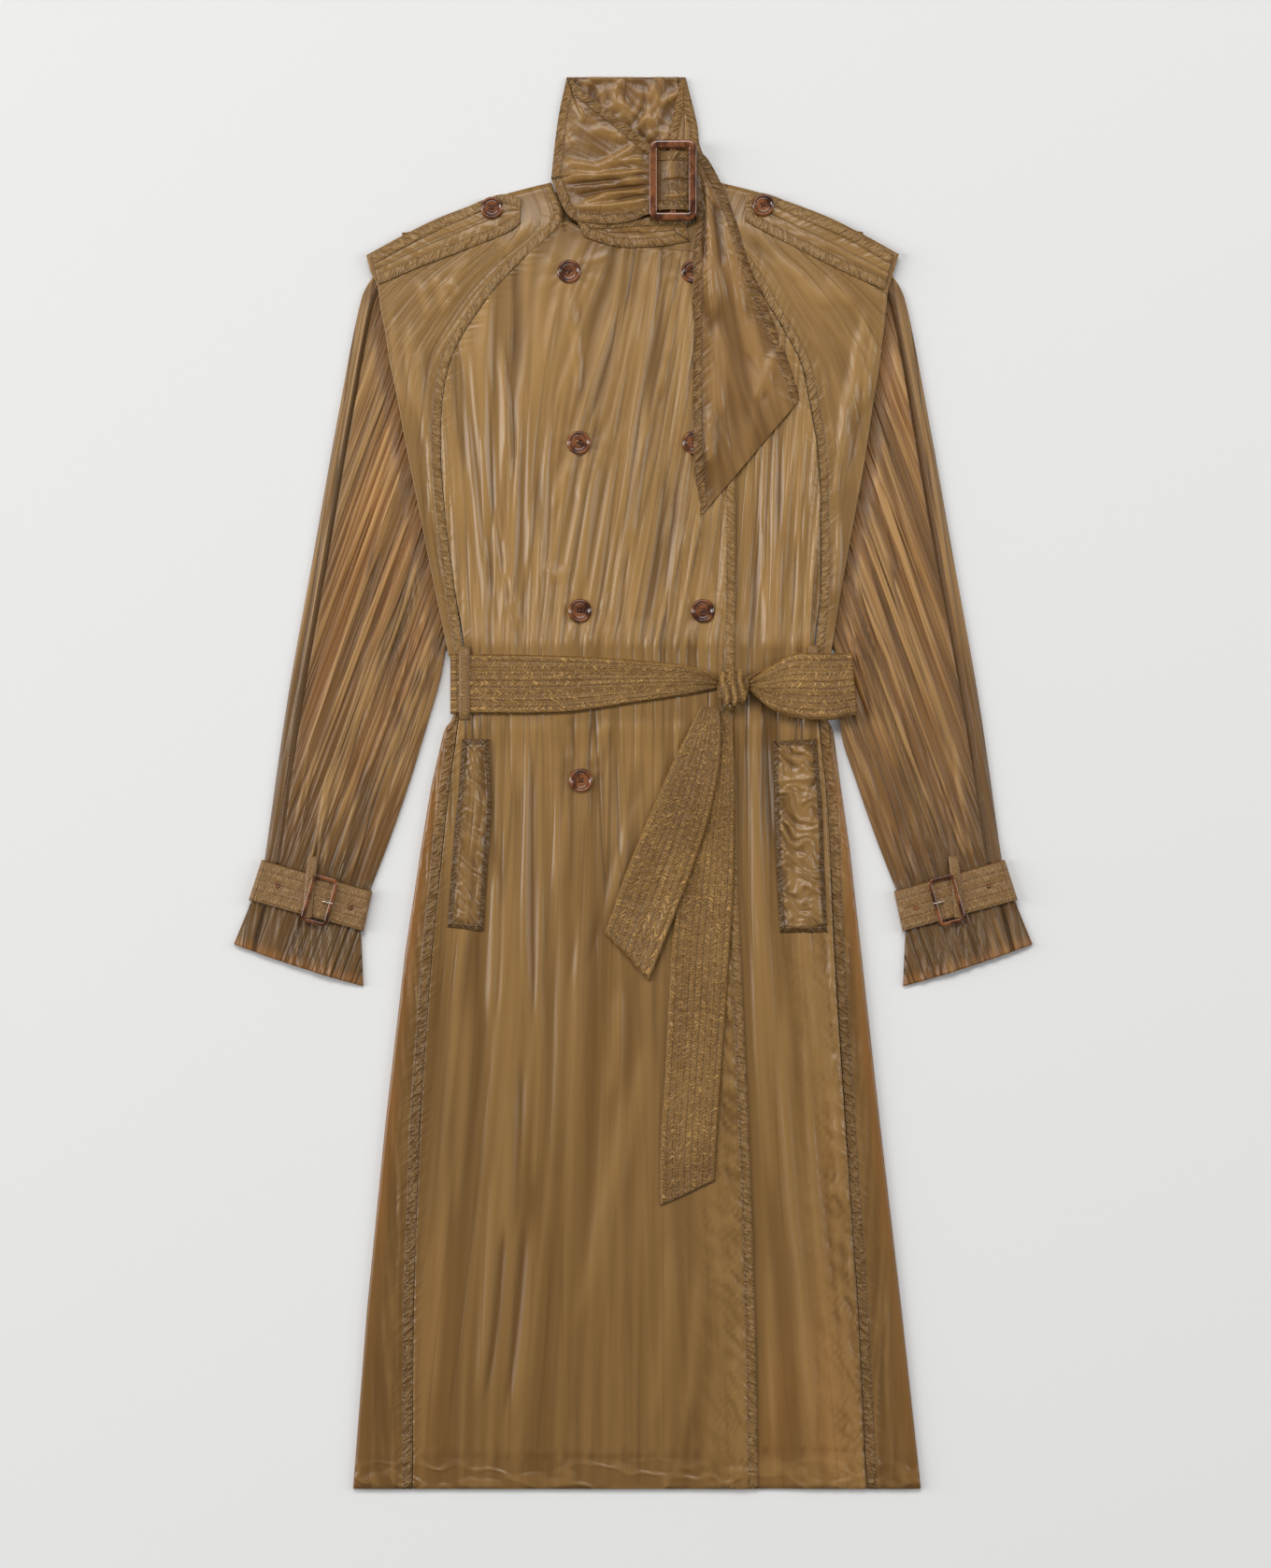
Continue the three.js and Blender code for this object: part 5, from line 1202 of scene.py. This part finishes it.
def button(name, diameter):
    low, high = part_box(name)
    cx = (low[0] + high[0]) / 2.0
    cy = (low[1] + high[1]) / 2.0
    bottom = low[2]
    radius = diameter / 2.0 * MM
    turned = 0.4 + 1.7 * (cx * 37.0 % 1.0)

    def place(u, v):
        angle = 2.0 * math.pi * u
        stops = np.array([0.0, 0.62, 0.78, 0.90, 1.0])
        far = np.interp(v, stops, [0.0, 0.74, 0.95, 1.0, 0.9]) * radius
        flank = np.interp(v, [0.0, 0.80, 0.9, 1.0], [1.0, 1.0, 0.55, 0.0])
        share = far / radius
        rim = 1.0 * np.exp(-(((share - 0.84) / 0.11) ** 2)) - 0.35 * smooth((0.62 - share) / 0.1)
        groove = -0.4 * np.exp(-(((share - 0.66) / 0.04) ** 2))
        x = far * np.cos(angle)
        y = far * np.sin(angle)
        holes = np.zeros_like(x)
        for k in range(4):
            a = turned + k * math.pi / 2.0
            away = np.hypot(x - 0.0021 * math.cos(a), y - 0.0021 * math.sin(a))
            holes += 1.6 * smooth((0.00105 - away) / 0.0006)
        z = bottom + (2.3 + rim + groove - holes) * MM * flank
        # Painted shade for the groove and the holes, which the horn colours near black.
        sunk = np.clip(0.8 * np.exp(-(((share - 0.66) / 0.05) ** 2)) + 0.8 * holes, 0.0, 0.9)
        return cx + x, cy + y, z, {"relief": sunk}

    disc = grid_piece(name, 56, 34, place, 0, True)
    wears(disc, horn)
    for k in range(2):
        a = turned + math.pi / 4.0 + k * math.pi / 2.0

        def stitch_place(u, v, way=a):
            along = mix(-2.0, 2.0, v)
            ring = 2.0 * math.pi * u
            side = 0.33 * np.cos(ring)
            x = cx + (along * math.cos(way - math.pi / 4.0) - side * math.sin(way - math.pi / 4.0)) * MM
            y = cy + (along * math.sin(way - math.pi / 4.0) + side * math.cos(way - math.pi / 4.0)) * MM
            arched = 0.5 * (1.0 - (along / 2.0) ** 4) - (np.abs(along) / 2.0) ** 6
            rise = 2.35 + arched + 0.33 * np.sin(ring)
            return x, y, bottom + rise * MM, {}

        sewn = grid_piece(f"{name}_thread_{k}", 8, 12, stitch_place, 0, True, name)
        sewn.data.materials.append(thread)


for n in range(1, 5):
    button(f"button_outer_{n}", 22.0)
    button(f"button_edge_{n}", 22.0)
button("epaulette_button_right", 20.5)
button("epaulette_button_left", 20.5)


# The pocket welts, beside the side seams. The right one lies smooth; the left one is rucked up.
def pocket_texture(rucked):
    def texture(x, y, wide, long, away):
        bent = y + 0.7 * x + 0.010 * noise(x / 0.018, y / 0.022, 191)
        cross = pleats(bent, x, 0.014, 0.032, 193, 0.05)
        cross = cross + 0.5 * pleats(bent - 0.6 * x, x, 0.009, 0.020, 197, 0.06)
        lengthwise = pleats(wide, long, 0.011, 0.09, 195 + rucked)
        fine = 1.6 * (1.0 - rucked) * pleats(bent + 0.5 * x, x, 0.008, 0.016, 199, 0.07)
        deep = (5.0 * cross * rucked + fine + (1.9 - 1.2 * rucked) * lengthwise) * smooth(away / 0.007) * MM
        puff = 1.2 * MM * smooth(away / 0.014)
        return deep + puff - 0.0004, 0.0
    return texture


welt_nylon = nylon("welt nylon", (0.240, 0.125, 0.034), (0.070, 0.030, 0.005), (0.390, 0.222, 0.076),
                   band=4.5, pucker=0.9, ripple=0.4, shine=0.29)
pocket_rows = {
    "right": [(-157, 40, -133, 40), (-160, 0, -130, -22), (-165, -50, -134, -77), (-171, -133, -138, -137)],
    "left": [(129, 38, 168, 40), (130, -22, 174, -22), (132, -80, 176, -80), (135, -138, 179, -138)],
}
for pocket_name, rows_of_pocket in pocket_rows.items():
    pocket_left, pocket_right = columns_of(rows_of_pocket, 0, 2)
    pocket_top, pocket_low = (curve([row[:2], row[2:]]) for row in (rows_of_pocket[0], rows_of_pocket[-1]))
    trim("pocket_welt_" + pocket_name, (pocket_left, pocket_right, pocket_top, pocket_low), 40, 150,
         pocket_texture(0.0 if pocket_name == "right" else 1.0), welt_nylon,
         1.0, passes=5, middle=1.9 if pocket_name == "left" else 1.2)

# The belt: doubled nylon sewn with close lengthwise rows. It lies under the back, comes round both
# sides and is tied in a bow on the left, with two loose ends hanging over the fronts.
belt_nylon = quilted("belt nylon", (0.310, 0.160, 0.039), (0.092, 0.038, 0.006), (0.485, 0.268, 0.076))
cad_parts["belt_back"].data.materials.clear()
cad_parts["belt_back"].data.materials.append(belt_nylon)


def quilt(long, wide, seed, size=0.35):
    """The ripples between the belt's rows of stitching, large enough to be shape."""
    zig = np.abs((wide / 0.009) % 1.0 - 0.5)
    ripple = size * noise(long / 0.0050 + 1.1 * zig, wide / 0.014, seed)
    return ripple + 0.25 * noise(long / 0.03, wide / 0.02, seed + 3)


def side_belt_place(side, side_x, top_line, bottom_line):
    def place(u, v):
        fold_y = mix(0.118, 0.063, v)
        low_z = 0.0
        front_z = 0.0114
        half = (front_z - low_z) / 2.0
        centre = (side_x - side * 6.9) * MM
        floor = u < 0.12
        turning = (u >= 0.12) & (u < 0.2)
        angle = math.pi * (-0.5 + (u - 0.12) / 0.08)
        t = np.clip((u - 0.2) / 0.8, 0.0, 1.0)
        first = top_line(t)
        second = bottom_line(t)
        front = mix(first, second, v[:, None])
        start = mix(np.array([centre, 0.118]), np.array([centre, 0.063]), v[:, None])
        joined = smooth(t / 0.06)[:, None]
        front = mix(mix(start, front, joined), front, joined)
        under = np.clip(u / 0.12, 0.0, 1.0)
        round_side = centre + side * half * np.cos(angle)
        x = np.where(floor, mix(side * 0.1104, centre, under), np.where(turning, round_side, front[:, 0]))
        y = np.where(floor | turning, fold_y, front[:, 1])
        long = t * np.abs(top_line(np.array([1.0]))[0, 0] - centre)
        width = np.hypot(*(first - second).T)
        wide = v * 0.055
        edge = np.minimum(v, 1.0 - v) * width
        gathered = smooth((t - 0.35) / 0.65)
        knots = 1.6 * gathered * pleats(v * 0.055, long, 0.010, 0.05, 203 + side)
        relief = (quilt(long, wide, 205 + side) + knots) * MM * (u >= 0.2)
        crest = 1.2 * smooth(t) * np.sin(3.0 * math.pi * v) ** 2 * MM
        z = np.where(floor, low_z, np.where(turning, half + half * np.sin(angle), front_z + crest + relief))
        z = z - np.where(u >= 0.2, 0.0007 * np.exp(-edge / 0.0011), 0.0)
        return x, y, z, {"across": wide, "down": long + 0.3 * side, "seam": edge, "run": long,
                         "relief": np.clip(relief / 0.0012, -1, 1)}

    return place


belt_right = grid_piece("belt_right", 220, 30, side_belt_place(
    -1, -169.5, curve([(-162.6, 118), (-85, 117), (-5, 113), (61, 105), (78, 96)]),
    curve([(-162.6, 63), (-61, 64), (-5, 72), (58, 82), (76, 86)])), wall=2.0)
wears(belt_right, belt_nylon)
belt_left = grid_piece("belt_left", 130, 30, side_belt_place(
    1, 182, curve([(175.1, 118), (141, 114), (118, 104), (102, 95)]),
    curve([(175.1, 63), (141, 68), (118, 76), (104, 82)])), wall=2.0)
wears(belt_left, belt_nylon)


def end_texture(seed):
    def texture(x, y, wide, long, away):
        bend = 0.8 * noise(long / 0.10, wide / 0.05, seed + 7)
        body = quilt(long, wide, seed, 0.40) + bend
        return body * smooth(away / 0.003) * MM, 0.0
    return texture


LONG_END = [
    (74, 66, 90, 66), (66, 20, 93, 20), (52, -37, 93.5, -37), (42, -90, 93, -90), (35, -150, 89, -157),
    (32, -210, 86, -205), (29, -270, 82, -262), (25, -330, 78, -318), (25, -389, 75, -366),
]
SHORT_END = [
    (62, 70, 79, 68), (52, 50, 80, 40), (38, 22, 78, 6), (14, -32, 68, -40), (-7, -83, 55, -80),
    (-17, -112, 45, -106), (-26, -138, 34, -132),
]
long_left, long_right = columns_of(LONG_END, 0, 2)
trim("belt_end_long", (long_left, long_right, None, None), 34, 220, end_texture(211), belt_nylon,
     2.0, 0.7)
short_left = curve([(row[0], row[1]) for row in SHORT_END])
short_right = curve([(row[2], row[3]) for row in SHORT_END[:-1]] + [(15, -182.5)])
trim("belt_end_short", (short_left, short_right, None, curve([(-26, -138), (15, -182.5)])), 38, 150,
     end_texture(223), belt_nylon,
     2.0, 0.7)

bow_top = curve([(107, 93), (125, 106), (146, 117.5), (175, 118.5), (197, 118.5)])
bow_bottom = curve([(107, 84), (125, 69), (146, 60), (182, 57.5), (202, 62)])


def bow_place(u, v):
    under = u < 0.2
    turning = (u >= 0.2) & (u < 0.3)
    t = np.where(under, u / 0.2, np.where(turning, 1.0, 1.0 - (u - 0.3) / 0.7))
    first = bow_top(t)
    second = bow_bottom(t)
    flat = mix(first, second, v[:, None])
    later = np.maximum(t, 0.05)
    way = mix(*(line(later) - line(later - 0.05) for line in (bow_top, bow_bottom)), v[:, None])
    way = way / np.hypot(*way.T)[:, None]
    low, high = 14.0, 21.2
    half = (high - low) / 2.0
    angle = math.pi * (-0.5 + (u - 0.2) / 0.1)
    out = np.where(turning, half * np.cos(angle), 0.0) * MM
    x = flat[:, 0] + way[:, 0] * out
    y = flat[:, 1] + way[:, 1] * out
    long = t * 0.095
    width = np.hypot(*(first - second).T)
    edge = np.minimum(v, 1.0 - v) * width
    puff = 1.4 * np.sin(3.0 * math.pi * v) ** 2 * (1.0 - smooth(t * 1.4))
    gathers = 2.2 * pleats(v * 0.05, long, 0.009, 0.045, 231) * (1.0 - smooth(t * 1.5))
    relief = quilt(long, v * 0.056, 233, 0.45) + gathers + 0.9 * noise(long / 0.035, v * 2.0, 237)
    relief = relief * (u >= 0.3)
    z = np.where(under, low, np.where(turning, low + half + half * np.sin(angle), high + puff + relief))
    z = z - np.where(u >= 0.3, 0.7 * np.exp(-edge / 0.0011), 0.0)
    return x, y, z * MM, {"across": v * 0.056, "down": long + 0.9, "seam": edge, "run": long,
                          "relief": np.clip(relief / 1.4, -1, 1)}


bow = grid_piece("belt_bow", 140, 36, bow_place, wall=2.0)
wears(bow, belt_nylon)


def knot_place(u, v):
    angle = 2.0 * math.pi * u
    lift = math.pi * (v - 0.5)
    flat = np.abs(np.cos(lift)) ** 0.8
    nx = np.sign(np.cos(angle)) * np.abs(np.cos(angle)) ** 0.8 * flat
    ny = np.sign(np.sin(angle)) * np.abs(np.sin(angle)) ** 0.8 * flat
    nz = np.sign(np.sin(lift)) * np.abs(np.sin(lift)) ** 0.8
    lane = nx + 0.14 * np.sin(ny * 2.3)
    wraps = 1.0 + 0.085 * np.cos(lane * 3.6 * math.pi) + 0.03 * noise(nx * 7.0, ny * 9.0, 241)
    x = 91.5 + 14.5 * nx * (1.0 + 0.06 * (wraps - 1.0))
    y = 87.0 + 16.0 * ny * wraps
    z = 21.2 + 7.0 * nz * wraps
    return x * MM, y * MM, z * MM, {
        "across": (nx * 15.0 + 2.0) * MM, "down": ny * 0.018, "seam": 0.01, "run": ny * 0.018,
        "relief": np.clip((wraps - 1.0) / 0.07, -1, 1)}


knot = grid_piece("belt_knot", 96, 60, knot_place, 0, True)
wears(knot, belt_nylon)

# The belt loops: narrow strips of the body cloth sewn to the sides above and below the belt.
for loop_name, loop_x, loop_low, loop_high, loop_lean in (
    ("right", -155, 58, 125, 0), ("left", 165.5, 58, 126, 2),
):
    loop_left = curve([(loop_x - 5, loop_high), (loop_x - 5 + loop_lean, loop_low)])
    loop_right = curve([(loop_x + 5, loop_high), (loop_x + 5 + loop_lean, loop_low)])
    trim("belt_loop_" + loop_name, (loop_left, loop_right, None, None), 12, 60, plain_texture, strap_nylon,
         0.8, passes=1)


# The collar. A back part stands up behind the neck; a wrapped part is drawn in folds into the buckle,
# and its long pointed end hangs from the buckle over the edge buttons. All are doubled nylon.
collar_nylon = nylon("collar nylon", (0.215, 0.106, 0.025), (0.065, 0.026, 0.004), (0.360, 0.196, 0.060),
                     band=8.5, pucker=1.1, ripple=0.4, shine=0.34)


def back_collar_texture(x, y, wide, long, away):
    first = pleats(0.8 * x - 0.6 * y, 0.6 * x + 0.8 * y, 0.014, 0.030, 251, 0.08)
    second = pleats(0.7 * x + 0.7 * y, 0.7 * y - 0.7 * x, 0.010, 0.022, 253, 0.08)
    # Painted glow: a little orange light coming through the collar.
    return (3.0 * first + 2.0 * second - 0.5) * MM * smooth(away / 0.008), 0.05


trim("collar_back", (
    curve([(-60.5, 650), (-66, 620), (-70, 590), (-75, 557)]),
    curve([(48, 650), (56, 612), (62, 585), (77, 557)]),
    None, curve([(-75, 557), (-40, 549), (0, 547), (40, 549), (77, 557)])), 70, 54, back_collar_texture,
    collar_nylon, 0.8, middle=0.9)


def side_collar_texture(x, y, wide, long, away):
    folds = 2.2 * pleats(wide, long, 0.008, 0.07, 261) + 1.2 * pleats(wide, long, 0.004, 0.04, 263)
    return folds * MM * smooth(away / 0.004), 0.0


trim("collar_side", (
    curve([(44, 648), (32, 593), (27, 572), (24, 548)]),
    curve([(48.5, 649), (59, 606), (62, 585), (79, 556)]), None, None), 40, 70,
     side_collar_texture, collar_nylon, 0.8)


def stand_texture(x, y, wide, long, away):
    folds = 1.6 * pleats(y + 0.12 * x, x, 0.010, 0.06, 271)
    return folds * MM * smooth(away / 0.005), 0.0


trim("collar_stand", (
    curve([(-54, 521), (-45, 502)]), curve([(47, 522), (52, 498)]),
    curve([(-54, 521), (-30, 518), (0, 520), (47, 522)]),
    curve([(-45, 502), (-15, 493), (19, 493), (52, 498)])), 80, 20, stand_texture, collar_nylon,
    0.8)

WRAP_RIGHT_X = 57.0
wrap_left = curve([(-61, 650), (-68, 618), (-72, 590), (-75.5, 556)])
wrap_right = curve([(WRAP_RIGHT_X, 580), (WRAP_RIGHT_X, 562), (WRAP_RIGHT_X, 544), (WRAP_RIGHT_X, 526)])
wrap_top = curve([
    (-61, 650), (-38, 630), (-14, 611), (10, 591), (24, 580.5), (38, 580), (50, 580), (WRAP_RIGHT_X, 580),
])
wrap_bottom = curve([
    (-75.5, 556), (-58, 520), (-35, 514), (-5, 515.5), (24, 525.5), (38, 526), (50, 526),
    (WRAP_RIGHT_X, 526),
])


WRAP_CREASES = [
    (-74, 556, 16, 552, 4, 3.5, 2.3), (-68, 550, 16, 560, -2, 1.8, -2.2), (-52, 531, 16, 545, 2, 2.6, 2.2),
    (-58, 538, 16, 548.5, 2, 1.6, -2.0), (-63, 529, 17, 536, -2, 3.0, 2.0),
    (-34, 568, 4, 588, -3, 3.2, 2.2),
    (-68, 573, -18, 567, -3, 4.0, 1.8), (-28, 566, 14, 573, 2, 2.0, 1.6), (-57, 628, -45, 606, 2, 2.5, 1.8),
    (-62, 610, -56, 585, -2, 4.0, 1.0), (-43, 600, -4, 590, 3, 5.0, 1.5), (-40, 556, 16, 562, 1, 2.0, 2.0),
    (-24, 544, 16, 549, 0, 1.5, -1.8), (-34, 541, 16, 541, 1, 2.0, 1.8), (-20, 533, 16, 540, 1, 1.4, -1.6),
    (32, 578, 35, 548, 1, 4.0, 1.2), (24, 552, 54, 553, 1, 1.6, -1.0), (24, 539, 54, 541, -1, 2.2, 1.2),
]


def wrap_texture(x, y, wide, long, away):
    toward = smooth((x + 0.075) / 0.095)
    spread = mix(1.0, 0.62, toward)
    lane = (y - mix(0.590, 0.553, toward)) / spread
    folds = 1.0 * pleats(lane, x, 0.0150, 0.10, 281) + 0.7 * pleats(lane, x, 0.0070, 0.06, 283)
    in_window = plateau(x, 0.020, 0.056, 0.006)
    quiet = mix(1.0, 0.30, in_window)
    drawn = creases(x, y, WRAP_CREASES)
    return ((folds * quiet - 0.6) * MM + drawn) * smooth(away / 0.006), 0.0


trim("collar_wrap", (wrap_left, wrap_right, wrap_top, wrap_bottom), 104, 80, wrap_texture, collar_nylon,
     0.8, passes=2)

END_LINES = [
    (WRAP_RIGHT_X + 1.2, 526, WRAP_RIGHT_X + 1.2, 580), (57.5, 508, 66, 577), (55.5, 485, 79, 556),
    (55, 455, 92, 525), (55, 410, 107, 477), (55, 355, 130, 421), (56, 300, 146, 378), (61, 243, 154, 353),
]
end_left, end_right = columns_of(END_LINES, 0, 2)


def collar_end_texture(x, y, wide, long, away):
    folds = 1.6 * pleats(x + 0.25 * y, y, 0.020, 0.12, 291) + 0.9 * pleats(x + 0.3 * y, y, 0.009, 0.08, 293)
    main = creases(x, y, [
        (66, 560, 74, 420, 2, 5.0, 2.0), (72, 540, 82, 470, 2, 4.0, -1.4), (80, 530, 100, 420, 3, 6.0, 1.8),
        (76, 430, 78, 330, 2, 6.0, 1.4), (96, 440, 118, 350, 4, 7.0, 1.5), (70, 350, 70, 290, 1, 5.0, 1.2),
        (104, 400, 122, 346, 2, 3.5, -1.0), (130, 400, 112, 350, 2, 5.0, 1.0),
        (62, 560, 66, 470, 1, 3.0, -1.6),
    ])
    # Painted glow: a little orange light coming through the end, around its middle.
    return (folds * MM + 1.3 * main) * smooth(away / 0.011) - 0.0008, 0.06 * plateau(y, 0.32, 0.46, 0.06)


trim("collar_end", (end_left, end_right, None, None), 64, 170, collar_end_texture, collar_nylon,
     0.9, passes=4)

# The collar's buckle: a horn slide, a rounded frame with a bar across its middle behind the cloth.
hardware("neck_buckle", 200, 22, framed(36.5, 553, 12.4, 44, 74, 7.6, 7, 5.4, 0.0))


def bar_place(u, v):
    angle = 2.0 * math.pi * u
    x = 36.5 + 2.5 * np.sign(np.cos(angle)) * np.abs(np.cos(angle)) ** 0.6
    z = 13.2 + 0.8 * np.sign(np.sin(angle)) * np.abs(np.sin(angle)) ** 0.6
    return x * MM, mix(0.5205, 0.5855, v), z * MM, {}


bar = grid_piece("neck_buckle_bar", 24, 4, bar_place, 0, True, "neck_buckle")
wears(bar, horn)

# The surroundings aren't part of the coat: a plain pale floor, soft light and the camera above it.
bpy.ops.mesh.primitive_plane_add(size=8.0, location=(0.0, 0.0, -0.0006))
floor = bpy.context.object
floor.name = "floor"
floor_paint, floor_shader, floor_start = material("floor paint")
floor_cloud = floor_start.node("ShaderNodeTexNoise", {}, {
    "Vector": floor_start.node("ShaderNodeTexCoord", {}, {}, output=3), "Scale": 0.5})
link(floor_start, floor_shader, "Base Color",
     tint(floor_start, floor_cloud, (0.800, 0.800, 0.800), (0.804, 0.804, 0.804)))
floor_shader.inputs["Roughness"].default_value = 1.0
floor_shader.inputs["Specular IOR Level"].default_value = 0.0
floor.data.materials.append(floor_paint)

world = bpy.data.worlds.new("studio")
bpy.context.scene.world = world
world.use_nodes = True
world.node_tree.nodes["Background"].inputs["Color"].default_value = (0.93, 0.96, 1.0, 1.0)
world.node_tree.nodes["Background"].inputs["Strength"].default_value = 0.18

LAMPS = [
    ("over collar", (-0.9, 5.2, 7.8), (0.0, 0.0, 0.0), 7.0, 3.0, 465.0),
    ("from left", (-6.9, 0.6, 3.6), (0.0, 0.0, 0.0), 2.4, 7.0, 395.0),
    ("from right", (6.9, 1.0, 4.8), (0.0, 0.0, 0.0), 2.0, 6.0, 215.0),
]
for lamp_name, lamp_at, aim, lamp_wide, lamp_high, power in LAMPS:
    lamp = bpy.data.lights.new(lamp_name, "AREA")
    lamp.shape = "RECTANGLE"
    lamp.size = lamp_wide
    lamp.size_y = lamp_high
    lamp.energy = power
    lamp.color = (1.0, 0.99, 0.97)
    holder = bpy.data.objects.new(lamp_name, lamp)
    bpy.context.scene.collection.objects.link(holder)
    holder.location = lamp_at
    holder.rotation_euler = (Vector(aim) - Vector(lamp_at)).to_track_quat("-Z", "Y").to_euler()

lens = bpy.data.cameras.new("camera")
lens.lens = 85.0
lens.sensor_width = 36.0
lens.sensor_height = 36.0
lens.sensor_fit = "VERTICAL"
lens.clip_end = 20.0
camera = bpy.data.objects.new("camera", lens)
bpy.context.scene.collection.objects.link(camera)
camera.location = (0.00215, -0.00130, 3.413)
bpy.context.scene.camera = camera
bpy.context.scene.view_settings.view_transform = "Standard"
bpy.context.scene.view_settings.look = "None"
